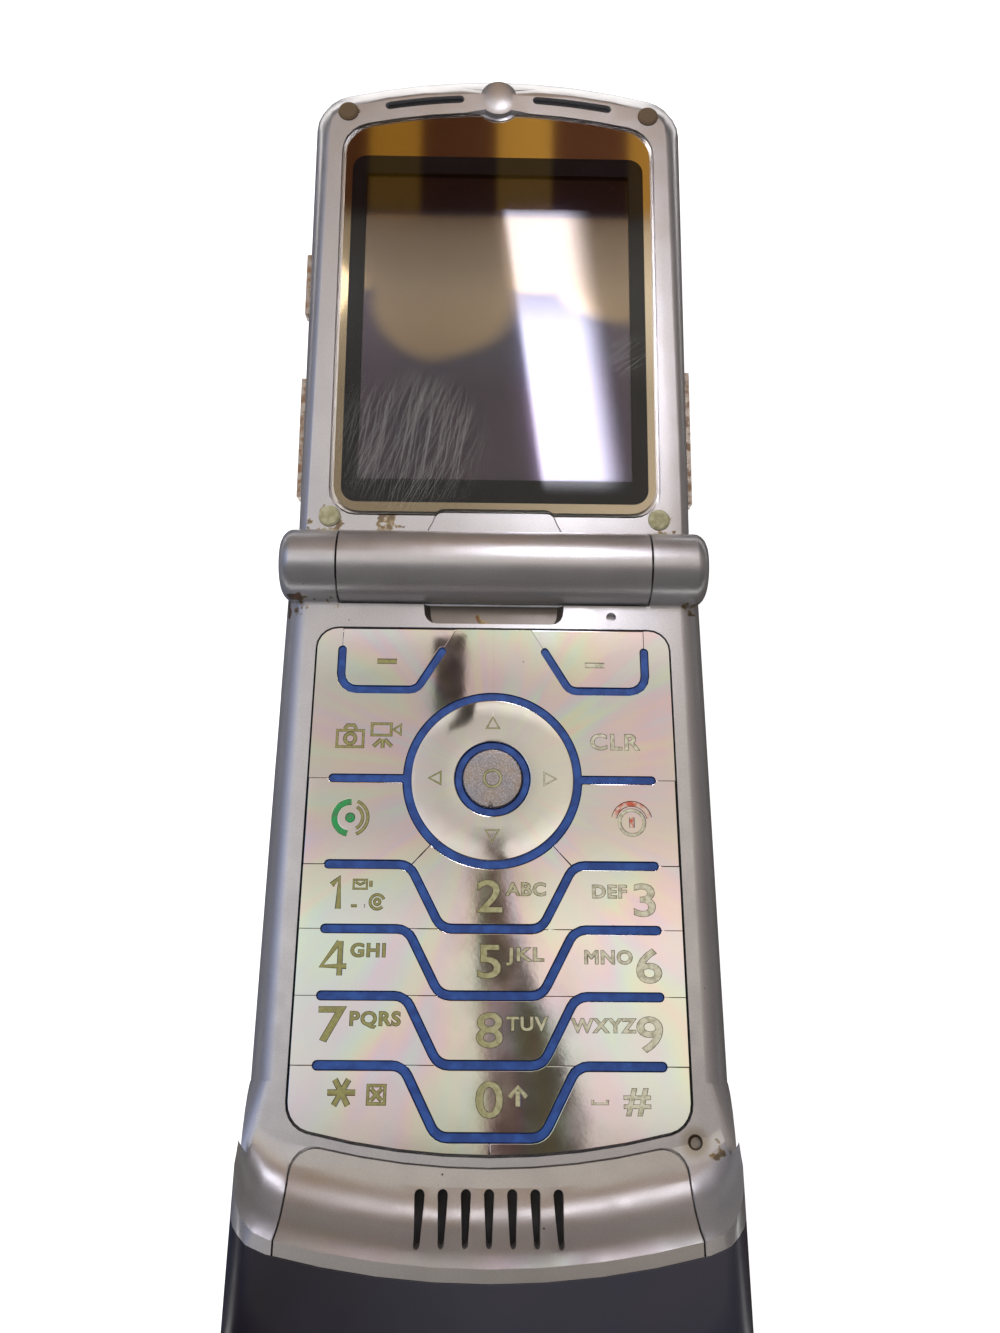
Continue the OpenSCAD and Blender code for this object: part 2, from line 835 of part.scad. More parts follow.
module lid_form() {
    loft([
        [face_z - eps, lid_outline(1.4, lid_end)],
        [face_z - 0.35, lid_outline(0.7, lid_end)],
        [face_z - 1.1, lid_outline(0.2, lid_end, 0.6)],
        [face_z - 2.2, lid_outline(0, lid_end, 1.7)],
        [-4.2, lid_outline(0, lid_end, lid_overhang * 0.72)],
        [-5.3, lid_outline(0.25, lid_end, lid_overhang * 0.92)],
        [-6.1, lid_outline(0.9, lid_end + 2.6, lid_overhang)],
        [lid_out, lid_outline(2.2, lid_slope_back, lid_overhang + 0.2)]
    ]);
}

// The gap round the tab.
module tab_gap_2d() {
    intersection() {
        difference() {
            offset(tab_gap) polygon(tab_outline);
            polygon(tab_outline);
        }
        translate([-10, barrel_r]) square([20, 4]);
    }
}

// Everything that turns in the lid stays clear of the knuckles of the base.
module knuckle_room() {
    for (s = [0, 1])
        mirror([s, 0, 0]) rod(barrel_x, 30, barrel_r + 0.3);
}

lens_bottom = 7.0;
lens_reach = 65.0;
lens_corner = 4.2;
lens_foot = 3.4;
function lens_outline(i = 0) =
    flip_y(tongue(lens_half_w - i, -lens_bottom - i, lens_reach - i, lens_corner - i, lens_foot - i));
window = [19.6, 9.2, 58.6];

dome_d = 67.4;
dome_r = 3.2;
dome_rise = 0.3;
camera_d = 66;
slot_reach = 67.2;
slot_t = 1.15;
slot_x = [5.3, 15];
slot_floor = -1.3;

// The two curved sound slots beside the dome.
module sound_slots_2d(t) {
    r = arc_y + slot_reach;
    a = [asin(slot_x[0] / r), asin(slot_x[1] / r)];
    mid = arc([0, -arc_y], r, 90 - a[0], 90 - a[1], 6);
    both_sides() polygon(ribbon(mid, t));
}

bumper_places = [[-21.0, 6.7], [21.0, 6.7], [-20.6, 64.8], [20.6, 64.8]];
bumper_r = 1.4;
bumper_top = 0.15;
screw_head = -1.6;

// Side keys: side, lower end, upper end.
rocker_d = [10.0, 26.4];
smart_d = [35.7, 44.4];
voice_d = [9.6, 28.0];
side_key_z = [-4.3, -2.3];
side_key_in = 23.7;
side_key_out = lid_hw + 0.55;
side_travel = 0.3;

module side_room(s, d) {
    mirror([s < 0 ? 1 : 0, 0, 0])
        block(side_key_in - side_travel - 0.1, far, d[0] - 0.12, d[1] + 0.12,
              side_key_z[0] - 0.1, side_key_z[1] + 0.1);
}

module side_rooms() {
    side_room(-1, rocker_d);
    side_room(-1, smart_d);
    side_room(1, voice_d);
}

module lid_inner_housing() {
    color("#b9b4b4")
    in_lid()
    difference() {
        union() {
            intersection() {
                lid_form();
                block(-far, far, -far, 90, lid_split, 3);
            }
            rod(-barrel_x, barrel_x, barrel_r);
            prism(-1, tab_rise, tab_outline);
            // The low dome at the tip.
            intersection() {
                translate([0, dome_d, face_z + dome_rise - 17.2]) sphere(r = 17.2, $fn = 96);
                translate([0, dome_d, face_z - 1]) cylinder(h = 3, r = dome_r);
            }
        }
        difference() {
            prism(lens_top - lens_t - 0.05, 1, lens_outline(-0.08));
            translate([0, dome_d, -3]) cylinder(h = 5, r = dome_r + 0.1);
            prism(-3, 2, tab_outline);
        }
        translate([0, 0, -0.9]) linear_extrude(3) tab_gap_2d();
        prism(-far, 0, round_box(-window[0], window[0], window[1], window[2], 0.8));
        knuckle_room();
        rod(-30, -13.6, pin_r + pin_gap);
        rod(13.6, 30, pin_r + pin_gap);
        translate([0, 0, slot_floor]) linear_extrude(3) sound_slots_2d(slot_t);
        block(4.9, 15.1, 64.6, 67.9, -far, -1.25);
        translate([0, camera_d, -20]) cylinder(h = 20 - 1.4, r = 3.45);
        for (p = bumper_places) {
            translate([p.x, p.y, -0.9]) cylinder(h = 3, r = bumper_r);
            translate([p.x, p.y, screw_head]) cylinder(h = 3, r = 1.1);
            translate([p.x, p.y, -5]) cylinder(h = 6, r = 0.65);
        }
        side_rooms();
        block(-6.2, 6.2, -1, 12, -3.75, -3.25);
    }
}

outer_window = [12.6, 38.5, 57.5];
function outer_window_2d(i) =
    round_box(i - outer_window[0], outer_window[0] - i, outer_window[1] + i, outer_window[2] - i, 2.5 - i);

module lid_outer_cover() {
    wall = 1.0;
    color("#aeb1b6")
    in_lid()
    difference() {
        intersection() {
            lid_form();
            block(-far, far, -far, 90, -20, lid_split);
        }
        rod(-barrel_x - 0.01, barrel_x + 0.01, barrel_r);
        knuckle_room();
        // Inside of the cover.
        prism(lid_out + wall, 0, flip_y(tongue(lid_hw - 1.4, -9.2, lid_tip - 1, 4, 2)));
        prism(-20, lid_out + 0.75, outer_window_2d(0));
        prism(-20, 0, round_box(-10.4, 10.4, 41, 55, 1));
        translate([0, camera_d, -20]) cylinder(h = 30, r = 3.45);
        translate([0, camera_d, lid_out - 2]) cylinder(h = 2.7, r = 4.6);
        for (p = bumper_places)
            translate([p.x, p.y, -5]) cylinder(h = 3, r = 0.65);
        side_rooms();
        block(-6.2, 6.2, -1, 12, -3.75, -3.25);
        block(4.9, 15.1, 64.6, 67.9, -3.6, 0);
    }
}

module display_lens() {
    color("#4d4038")
    in_lid()
    difference() {
        prism(lens_top - lens_t, lens_top, lens_outline());
        translate([0, dome_d, -3]) cylinder(h = 5, r = dome_r + 0.18);
        translate([0, 0, -3]) linear_extrude(5) offset(tab_gap) polygon(tab_outline);
        for (p = bumper_places) translate([p.x, p.y, -3]) cylinder(h = 5, r = bumper_r + 0.05);
    }
}

module main_display() {
    mid_d = 33.75;
    gap = 0.2;
    color("#15161a")
    in_lid() {
        prism(lid_split - 0.1, -1.6,
              round_box(gap - window[0], window[0] - gap, window[1] + gap, window[2] - gap, 0.6));
        block(-display_w / 2, display_w / 2, mid_d - display_h / 2, mid_d + display_h / 2, -1.61, -1.2);
    }
}

module lid_board() {
    color("#2f6b45")
    in_lid()
    prism(-4.0, lid_split - 0.1, round_box(-22, 22, 12.2, 61.8, 1));
}

module outer_display() {
    color("#1a1c20")
    in_lid()
    prism(lid_out + 0.8, -4.0, round_box(-10.2, 10.2, 41.2, 54.8, 0.8));
}

module outer_lens() {
    color("#3b4654")
    in_lid()
    prism(lid_out + 0.08, lid_out + 0.75, outer_window_2d(0.1));
}

module camera_module() {
    color("#1c1c20")
    in_lid()
    translate([0, camera_d, lid_out + 0.9]) cylinder(h = 3.6, r = 3.4);
}

module camera_ring() {
    color("#c9cdd2")
    in_lid()
    translate([0, camera_d, lid_out + 0.05]) difference() {
        cylinder(h = 0.65, r = 4.55);
        translate([0, 0, -0.4]) cylinder(h = 1, r1 = 3.4, r2 = 2.2);
    }
}

module earpiece() {
    color("#36363a")
    in_lid()
    prism(-3.5, -1.3, round_box(5.1, 14.9, 64.8, 67.7, 1.3));
}

module earpiece_mesh() {
    color("#1f1f21")
    in_lid()
    translate([0, 0, slot_floor]) linear_extrude(0.4) sound_slots_2d(slot_t - 0.02);
}

// A side key with a row of grooves along it.
module side_key(s, d, grooves) {
    z = side_key_z;
    deep = 0.15;
    mirror([s < 0 ? 1 : 0, 0, 0])
        difference() {
            block(side_key_in, side_key_out, d[0], d[1], z[0], z[1]);
            for (i = [1:grooves])
                let (mid = d[0] + (d[1] - d[0]) * i / (grooves + 1))
                block(side_key_out - deep, far, mid - deep, mid + deep, z[0] + 0.4, z[1] - 0.4);
        }
}

module smart_key() {
    color("#b8a890") in_lid() side_key(-1, smart_d, 4);
}

module volume_rocker() {
    color("#b8a890") in_lid() side_key(-1, rocker_d, 9);
}

module voice_key() {
    color("#b8a890") in_lid() side_key(1, voice_d, 10);
}

module lid_bumpers() {
    color("#9b956f")
    in_lid()
    for (p = bumper_places)
        translate([p.x, p.y, -0.9]) rotate_extrude($fn = 32)
            polygon([
                [0, 0], [bumper_r - 0.05, 0], [bumper_r - 0.05, 0.8], [bumper_r - 0.3, 1.0],
                [0, bumper_top + 0.9]
            ]);
}

module lid_screws() {
    color("#6b6d70")
    in_lid()
    for (p = bumper_places)
        translate([p.x, p.y, 0]) {
            translate([0, 0, screw_head]) cylinder(h = 0.65, r = 1.05);
            translate([0, 0, -4.6]) cylinder(h = 3.1, r = 0.6);
        }
}

module hinge_flex() {
    color("#b5792e")
    in_lid()
    block(-6, 6, -0.8, 12.1, -3.6, -3.4);
}

// ---------------------------------------------------------------------------------------------------------

front_housing();
rear_housing();
chin_cover();
antenna_cap();
keypad_backlight();
dome_sheet();
main_board();
shield_can();
battery();
battery_door();
battery_latch();
loudspeaker();
microphone();
microphone_mesh();
antenna();
vibration_motor();
usb_socket();
sim_holder();
hinge_cam();
hinge_pin();
case_screws();
key_tile(soft_area);  // key_soft_left
mirrored_tile(soft_area);  // key_soft_right
key_tile(camera_area);  // key_camera
mirrored_tile(camera_area);  // key_clear
key_tile(send_area);  // key_send
mirrored_tile(send_area);  // key_end
key_tile(outer_area(0));  // key_1
key_tile(key_2_area);  // key_2
mirrored_tile(outer_area(0));  // key_3
key_tile(outer_area(1));  // key_4
key_tile(middle_area(0));  // key_5
mirrored_tile(outer_area(1));  // key_6
key_tile(outer_area(2));  // key_7
key_tile(middle_area(1));  // key_8
mirrored_tile(outer_area(2));  // key_9
key_tile(star_area);  // key_star
key_tile(middle_area(2));  // key_0
mirrored_tile(star_area);  // key_hash
nav_support();
nav_ring();
select_key();
lid_inner_housing();
lid_outer_cover();
display_lens();
main_display();
outer_lens();
outer_display();
camera_module();
camera_ring();
earpiece();
earpiece_mesh();
smart_key();
volume_rocker();
voice_key();
lid_bumpers();
lid_board();
lid_screws();
hinge_flex();
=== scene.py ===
"""The looks of a folding pocket telephone: worn silver paint, an etched metal keypad and a scratched window.

Blender works in metres. Places on the telephone are given in millimetres from the hinge axis, as on its
drawing: base_at() places them on the base, and lid_at() on the lid, as if the lid lay flat in line with it.
"""

import json
import math

import bpy
from mathutils import Matrix, Vector
from mathutils.bvhtree import BVHTree

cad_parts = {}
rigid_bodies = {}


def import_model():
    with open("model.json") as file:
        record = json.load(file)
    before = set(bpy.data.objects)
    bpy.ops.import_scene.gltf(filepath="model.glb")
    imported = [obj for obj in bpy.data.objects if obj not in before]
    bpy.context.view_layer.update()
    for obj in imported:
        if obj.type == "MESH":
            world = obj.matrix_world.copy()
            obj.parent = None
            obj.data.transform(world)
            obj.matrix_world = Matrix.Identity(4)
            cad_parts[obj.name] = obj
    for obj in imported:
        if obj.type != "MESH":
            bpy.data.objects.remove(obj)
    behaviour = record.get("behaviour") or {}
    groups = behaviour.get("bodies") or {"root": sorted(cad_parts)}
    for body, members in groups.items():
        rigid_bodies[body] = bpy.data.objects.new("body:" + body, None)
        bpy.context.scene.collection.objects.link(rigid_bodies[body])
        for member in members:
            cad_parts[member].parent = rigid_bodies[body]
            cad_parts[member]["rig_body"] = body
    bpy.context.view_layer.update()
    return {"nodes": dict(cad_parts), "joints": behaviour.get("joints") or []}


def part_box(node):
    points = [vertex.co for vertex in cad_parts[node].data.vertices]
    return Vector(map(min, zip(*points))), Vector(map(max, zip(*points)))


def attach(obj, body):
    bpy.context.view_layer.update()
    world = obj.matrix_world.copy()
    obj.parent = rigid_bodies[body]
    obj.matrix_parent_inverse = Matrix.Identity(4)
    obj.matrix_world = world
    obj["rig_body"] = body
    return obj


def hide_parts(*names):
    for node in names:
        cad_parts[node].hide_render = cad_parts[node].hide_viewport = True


MM = 0.001
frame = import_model()
nodes = frame["nodes"]
bpy.ops.object.select_all(action="DESELECT")
bpy.context.scene.view_settings.view_transform = "Standard"

# ---------------------------------------------------------------------------------------------------------
# Places

lid_hinge = next(j for j in frame["joints"] if j["name"] == "lid_hinge")
HINGE = Vector(lid_hinge["pos_m"])
LID_TILT = math.pi - math.radians(lid_hinge["range_deg"][1])
LID_PLACE = Matrix.Translation(HINGE) @ Matrix.Rotation(LID_TILT, 4, "X")
BASE_PLACE = Matrix.Translation(HINGE)
KEY_TOP = (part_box("key_5")[1].z - HINGE.z) / MM
NAV_CENTRE = (0.0, (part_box("nav_ring")[0].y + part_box("nav_ring")[1].y) / 2 / MM - HINGE.y / MM)


def base_at(x, y, z=0.0):
    return BASE_PLACE @ (Vector((x, y, z)) * MM)


def lid_at(x, d, h=0.0):
    return LID_PLACE @ (Vector((x, d, h)) * MM)


# ---------------------------------------------------------------------------------------------------------
# Camera: the lens of a hand-held camera close above the keypad, tipped towards the lid.

CAMERA_AT = (-0.86, -51.44, 115.9)
CAMERA_TIP = (-18.34, 0.82, -0.35)
LENS_PX = 1001
PHOTO_HEIGHT_PX = 1333
SENSOR_MM = 36


def add_camera():
    turn = (
        Matrix.Rotation(math.radians(CAMERA_TIP[2]), 4, "Z")
        @ Matrix.Rotation(math.radians(CAMERA_TIP[0]), 4, "X")
        @ Matrix.Rotation(math.radians(CAMERA_TIP[1]), 4, "Y")
    )
    data = bpy.data.cameras.new("camera")
    data.lens = LENS_PX / PHOTO_HEIGHT_PX * SENSOR_MM
    data.sensor_width = SENSOR_MM
    data.clip_start = 0.001
    camera = bpy.data.objects.new("camera", data)
    bpy.context.collection.objects.link(camera)
    camera.matrix_world = Matrix.Translation(base_at(*CAMERA_AT)) @ turn.transposed()
    bpy.context.scene.camera = camera


# ---------------------------------------------------------------------------------------------------------
# Shader helpers


def srgb(hex_code):
    """A colour as seen on a screen, such as "c9c4bd", as the linear colour that a shader takes."""
    parts = [int(hex_code[i : i + 2], 16) / 255 for i in (0, 2, 4)]
    return tuple(c / 12.92 if c <= 0.04045 else ((c + 0.055) / 1.055) ** 2.4 for c in parts) + (1.0,)


# Settings that many nodes share.
MULTIPLY = {"operation": "MULTIPLY"}
SMOOTH = {"interpolation_type": "SMOOTHSTEP"}
COLOURS = {"data_type": "RGBA"}


def add(tree, kind, inputs=(), out=0, **settings):
    """Adds a node and gives back its output out, or the node itself where out is None. inputs holds a value
    or another node's output for each of its first sockets, or pairs them with a socket's name or number."""
    made = tree.nodes.new("ShaderNode" + kind)
    for name, value in settings.items():
        setattr(made, name, value)
    pairs = inputs if isinstance(inputs, dict) else dict(enumerate(inputs))
    for socket, value in pairs.items():
        if isinstance(value, bpy.types.NodeSocket):
            tree.links.new(value, made.inputs[socket])
        else:
            made.inputs[socket].default_value = value
    return made if out is None else made.outputs[out]


def shades(tree, value, stops):
    """Colours that run into one another along value. stops pairs each value with its colour."""
    tone = srgb(stops[0][1])
    for (start, _), (end, colour) in zip(stops, stops[1:]):
        share = add(tree, "MapRange", {"Value": value, "From Min": start, "From Max": end}, "Result")
        tone = add(tree, "Mix", {0: share, 6: tone, 7: srgb(colour)}, 2, **COLOURS)
    return tone


def near(tree, place, centre, radius_mm, soft_mm):
    """1 within radius_mm of centre, falling to 0 over soft_mm."""
    away = add(tree, "VectorMath", (place, tuple(centre)), "Value", operation="DISTANCE")
    return add(tree, "MapRange", (away, (radius_mm + soft_mm) * MM, radius_mm * MM), **SMOOTH)


def any_of(tree, masks):
    total = masks[0]
    for mask in masks[1:]:
        total = add(tree, "Math", (total, mask), operation="MAXIMUM")
    return total


def specks(tree, place, spacing_mm, radius_mm, share):
    """Small round specks, one in a cell of spacing_mm, in only a share of the cells."""
    cells = add(tree, "TexVoronoi", {"Vector": place, "Scale": 1 / (spacing_mm * MM)}, None)
    close = add(
        tree, "MapRange", (cells.outputs["Distance"], radius_mm / spacing_mm, radius_mm / spacing_mm * 0.6),
        **SMOOTH
    )
    chosen = add(tree, "SeparateColor", (cells.outputs["Color"],))
    kept = add(tree, "Math", (chosen, share), operation="LESS_THAN")
    return add(tree, "Math", (close, kept), **MULTIPLY)


def new_material(name):
    """A material with its node tree, its shader and the place on the surface, in metres."""
    material = bpy.data.materials.new(name)
    material.use_nodes = True
    tree = material.node_tree
    shader = tree.nodes["Principled BSDF"]
    place = add(tree, "TexCoord", out="Object")
    return material, tree, shader, place


def join(tree, value, shader, socket):
    tree.links.new(value, shader.inputs[socket])


# ---------------------------------------------------------------------------------------------------------
# Materials

GRIME = srgb("6b5630")
RUST = srgb("7c3a1c")


def metallic_lacquer(name, colour, dirt_places=(), flake=0.06, hole_shades_and_stains=()):
    """Satin lacquer with metal flakes over a cast or moulded shell: a soft sheen, with chips and grime where
    hands and hinge have rubbed it."""
    material, tree, shader, place = new_material(name)
    shader.inputs["Metallic"].default_value = 0.85
    shader.inputs["Coat Weight"].default_value = 0.2
    shader.inputs["Coat Roughness"].default_value = 0.25
    # Flakes are far finer than a pixel, so they are drawn 0.12 mm across.
    flakes = add(tree, "TexNoise", {0: place, "Scale": 1 / (0.12 * MM), "Detail": 3.0})
    light = tuple(min(1.0, c * (1 + flake)) for c in colour[:3]) + (1.0,)
    dark = tuple(c * (1 - flake) for c in colour[:3]) + (1.0,)
    paint = add(
        tree, "Mix", {0: add(tree, "MapRange", (flakes, 0.3, 0.7), **SMOOTH), 6: dark, 7: light}, 2, **COLOURS
    )
    cloud = add(tree, "TexNoise", {0: place, "Scale": 1 / (14 * MM)})
    paint = add(
        tree, "Mix",
        {0: add(tree, "MapRange", (cloud, 0.35, 0.8, 0.0, 0.12), **SMOOTH), 6: paint, 7: srgb("8a7f86")}, 2,
        **COLOURS
    )
    chips = specks(tree, place, 2.6, 0.16, 0.16)
    paint = add(
        tree, "Mix", {0: add(tree, "Math", (chips, 0.85), **MULTIPLY), 6: paint, 7: srgb("3b332f")}, 2,
        **COLOURS
    )
    if dirt_places:
        patch = any_of(tree, [near(tree, place, at, radius, soft) for at, radius, soft in dirt_places])
        crust = add(tree, "TexNoise", {0: place, "Scale": 1 / (1.3 * MM), "Detail": 7.0})
        depth = add(tree, "Math", (patch, 0.5, crust), operation="MULTIPLY_ADD")
        mud = add(
            tree, "Mix",
            {0: add(tree, "MapRange", (crust, 0.5, 0.62), **SMOOTH), 6: srgb("a58b52"), 7: GRIME}, 2,
            **COLOURS
        )
        mud = add(
            tree, "Mix", {0: add(tree, "MapRange", (crust, 0.62, 0.7), **SMOOTH), 6: mud, 7: RUST}, 2,
            **COLOURS
        )
        paint = add(
            tree, "Mix",
            {
                0: add(
                    tree, "Math", (add(tree, "MapRange", (depth, 0.98, 1.04), **SMOOTH), 0.85), **MULTIPLY
                ), 6: paint, 7: mud
            }, 2, **COLOURS
        )
    # Painted shade: a dark spot painted where a small hole lies, inside a brown stain.
    for hole_spot in hole_shades_and_stains:
        paint = add(
            tree, "Mix",
            {
                0: add(tree, "Math", (near(tree, place, hole_spot, 0.9, 1.1), 0.5), **MULTIPLY), 6: paint,
                7: srgb("8f7a4c")
            }, 2, **COLOURS
        )
        paint = add(
            tree, "Mix", {0: near(tree, place, hole_spot, 0.72, 0.14), 6: paint, 7: srgb("33261a")}, 2, **COLOURS
        )
    join(tree, paint, shader, "Base Color")
    rough = add(
        tree, "MapRange", (add(tree, "TexNoise", {0: place, "Scale": 1 / (3.0 * MM)}), 0.2, 0.8, 0.28, 0.38),
        **SMOOTH
    )
    join(tree, rough, shader, "Roughness")
    join(tree, add(tree, "Bump", {"Height": flakes, "Distance": 0.004 * MM}), shader, "Normal")
    return material


def wave(tree, phase, shift):
    """A wave from -1 to 1 that repeats each time phase grows by 1."""
    angle = add(tree, "Math", (add(tree, "Math", (phase, shift)), 2 * math.pi), **MULTIPLY)
    return add(tree, "Math", (angle,), operation="COSINE")


def polished_plate(name, shimmer=0.09):
    """Polished and chemically etched steel plate: mirror-like, with the pastel shimmer of a fine grating
    painted into its colour as a painted sheen, in rays that fan out from the steering ring."""
    material, tree, shader, place = new_material(name)
    shader.inputs["Metallic"].default_value = 1.0
    out = add(tree, "VectorMath", (place, tuple(base_at(*NAV_CENTRE))), operation="SUBTRACT")
    parts = add(tree, "SeparateXYZ", (out,), None)
    angle = add(tree, "Math", (parts.outputs["Y"], parts.outputs["X"]), operation="ARCTAN2")
    fan = add(tree, "CombineXYZ", (angle,))
    ray = add(tree, "TexNoise", {"Vector": fan, "Scale": 2.6, "Detail": 3.0, "Roughness": 0.6}, "Fac")
    phase = add(
        tree, "Math",
        (
            add(tree, "Math", (ray, 3.0), **MULTIPLY),
            add(
                tree, "Math", (add(tree, "TexNoise", {0: place, "Scale": 1 / (18 * MM), "Detail": 1.5}), 3.0),
                **MULTIPLY
            )
        )
    )
    depth = add(
        tree, "Math",
        (
            add(
                tree, "MapRange",
                (add(tree, "TexNoise", {0: place, "Scale": 1 / (8 * MM)}), 0.3, 0.65, 0.25, 1.0), **SMOOTH
            ), shimmer
        ), **MULTIPLY
    )
    # Painted sheen: the pastel colours of the grating are painted into the plate's colour.
    metal = srgb("ece9e5")
    painted_sheen_tints = [
        add(
            tree, "Math",
            (
                add(
                    tree, "Math",
                    (add(tree, "Math", (wave(tree, phase, shift), depth), **MULTIPLY), metal[i]), **MULTIPLY
                ), metal[i] * (1 - shimmer)
            )
        ) for i, shift in enumerate((0.0, 0.36, 0.68))
    ]
    metal = add(tree, "CombineColor", (painted_sheen_tints[0], painted_sheen_tints[1], painted_sheen_tints[2]))
    stain = specks(tree, place, 3.4, 0.14, 0.14)
    metal = add(
        tree, "Mix", {0: add(tree, "Math", (stain, 0.6), **MULTIPLY), 6: metal, 7: srgb("5d5148")}, 2,
        **COLOURS
    )
    join(tree, metal, shader, "Base Color")
    smear = add(tree, "TexNoise", {0: place, "Scale": 1 / (5 * MM), "Detail": 4.0})
    join(tree, add(tree, "MapRange", (smear, 0.3, 0.75, 0.05, 0.11), **SMOOTH), shader, "Roughness")
    join(
        tree,
        add(
            tree, "Bump",
            {"Height": add(tree, "TexNoise", {0: place, "Scale": 1 / (0.5 * MM)}), "Distance": 0.0008 * MM}
        ), shader, "Normal"
    )
    return material


def sparkling_plate(name):
    """Plate with a blasted, sparkling surface, as on the select key."""
    material, tree, shader, place = new_material(name)
    shader.inputs["Metallic"].default_value = 1.0
    flecks = add(tree, "TexNoise", {0: place, "Scale": 1 / (0.16 * MM), "Detail": 4.0})
    cloud = add(
        tree, "MapRange", (add(tree, "TexNoise", {0: place, "Scale": 1 / (2.4 * MM)}), 0.35, 0.7), **SMOOTH
    )
    metal = add(tree, "Mix", {0: cloud, 6: srgb("a9a6ab"), 7: srgb("b9a898")}, 2, **COLOURS)
    metal = add(
        tree, "Mix", {0: add(tree, "MapRange", (flecks, 0.45, 0.65), **SMOOTH), 6: metal, 7: srgb("dcdade")},
        2, **COLOURS
    )
    join(tree, metal, shader, "Base Color")
    join(tree, add(tree, "MapRange", (flecks, 0.3, 0.7, 0.28, 0.5), **SMOOTH), shader, "Roughness")
    join(tree, add(tree, "Bump", {"Height": flecks, "Distance": 0.02 * MM}), shader, "Normal")
    return material


def silicone(name, colour, dark):
    """Moulded silicone rubber, dyed through: soft gloss, a little darker where dust settles."""
    material, tree, shader, place = new_material(name)
    shader.inputs["Roughness"].default_value = 0.48
    shader.inputs["Specular IOR Level"].default_value = 0.4
    join(
        tree,
        add(
            tree, "Mix",
            {
                0: add(
                    tree, "MapRange", (add(tree, "TexNoise", {0: place, "Scale": 1 / (1.2 * MM)}), 0.35, 0.7),
                    **SMOOTH
                ), 6: dark, 7: colour
            }, 2, **COLOURS
        ), shader, "Base Color"
    )
    join(
        tree,
        add(
            tree, "Bump",
            {"Height": add(tree, "TexNoise", {0: place, "Scale": 1 / (0.2 * MM)}), "Distance": 0.006 * MM}
        ), shader, "Normal"
    )
    return material


def etched_fill(name):
    """Clear lacquer in the etched legends, over the dull backing: olive on the left, paler to the right as a
    painted reflection.
    """
    material, tree, shader, place = new_material(name)
    across = add(tree, "SeparateXYZ", (place,), "X")
    # Painted reflection: the lacquer is paler towards the right.
    tone = add(
        tree, "Mix",
        {
            0: add(tree, "MapRange", (across, -6 * MM, 12 * MM), **SMOOTH), 6: srgb("8e8a55"),
            7: srgb("c9c4ae")
        }, 2, **COLOURS
    )
    tone = add(
        tree, "Mix",
        {
            0: add(
                tree, "MapRange",
                (add(tree, "TexNoise", {0: place, "Scale": 1 / (0.5 * MM)}), 0.35, 0.7, 0.0, 0.5), **SMOOTH
            ), 6: tone, 7: srgb("6d6740")
        }, 2, **COLOURS
    )
    join(tree, tone, shader, "Base Color")
    shader.inputs["Roughness"].default_value = 0.38
    join(
        tree,
        add(
            tree, "Bump",
            {"Height": add(tree, "TexNoise", {0: place, "Scale": 1 / (0.25 * MM)}), "Distance": 0.006 * MM}
        ), shader, "Normal"
    )
    return material


def worn_ink(name, colour, worn):
    """Coloured lacquer in an etched icon, partly rubbed away."""
    material, tree, shader, place = new_material(name)
    patches = add(
        tree, "MapRange",
        (add(tree, "TexNoise", {0: place, "Scale": 1 / (0.8 * MM), "Detail": 3.0}), 0.42, 0.62), **SMOOTH
    )
    join(tree, add(tree, "Mix", {0: patches, 6: colour, 7: worn}, 2, **COLOURS), shader, "Base Color")
    shader.inputs["Roughness"].default_value = 0.35
    return material


def plain_plastic(name, colour, rough=0.45, grit_mm=0.25):
    """Moulded plastic with a fine spark-eroded grain."""
    material, tree, shader, place = new_material(name)
    light = tuple(min(1.0, c * 1.25 + 0.004) for c in colour[:3]) + (1.0,)
    cloud = add(
        tree, "MapRange",
        (add(tree, "TexNoise", {0: place, "Scale": 1 / (grit_mm * 6 * MM), "Detail": 3.0}), 0.3, 0.7),
        **SMOOTH
    )
    join(tree, add(tree, "Mix", {0: cloud, 6: colour, 7: light}, 2, **COLOURS), shader, "Base Color")
    join(
        tree,
        add(
            tree, "MapRange",
            (add(tree, "TexNoise", {0: place, "Scale": 1 / (2.5 * MM)}), 0.3, 0.7, rough, rough + 0.1),
            **SMOOTH
        ), shader, "Roughness"
    )
    join(
        tree,
        add(
            tree, "Bump",
            {"Height": add(tree, "TexNoise", {0: place, "Scale": 1 / (grit_mm * MM)}), "Distance": 0.008 * MM}
        ), shader, "Normal"
    )
    return material


def sheet_metal(name, colour, rough=0.32):
    """Tinned or brushed sheet: fine lines along one way and a soft sheen."""
    material, tree, shader, place = new_material(name)
    shader.inputs["Metallic"].default_value = 1.0
    lines = add(
        tree, "TexNoise",
        {0: add(tree, "Mapping", {"Vector": place, "Scale": (0.06, 1.0, 1.0)}), "Scale": 1 / (0.15 * MM)}
    )
    dark = tuple(c * 0.8 for c in colour[:3]) + (1.0,)
    join(
        tree,
        add(
            tree, "Mix", {0: add(tree, "MapRange", (lines, 0.3, 0.7), **SMOOTH), 6: dark, 7: colour}, 2,
            **COLOURS
        ), shader, "Base Color"
    )
    join(tree, add(tree, "MapRange", (lines, 0.3, 0.7, rough, rough + 0.12), **SMOOTH), shader, "Roughness")
    join(tree, add(tree, "Bump", {"Height": lines, "Distance": 0.003 * MM}), shader, "Normal")
    return material


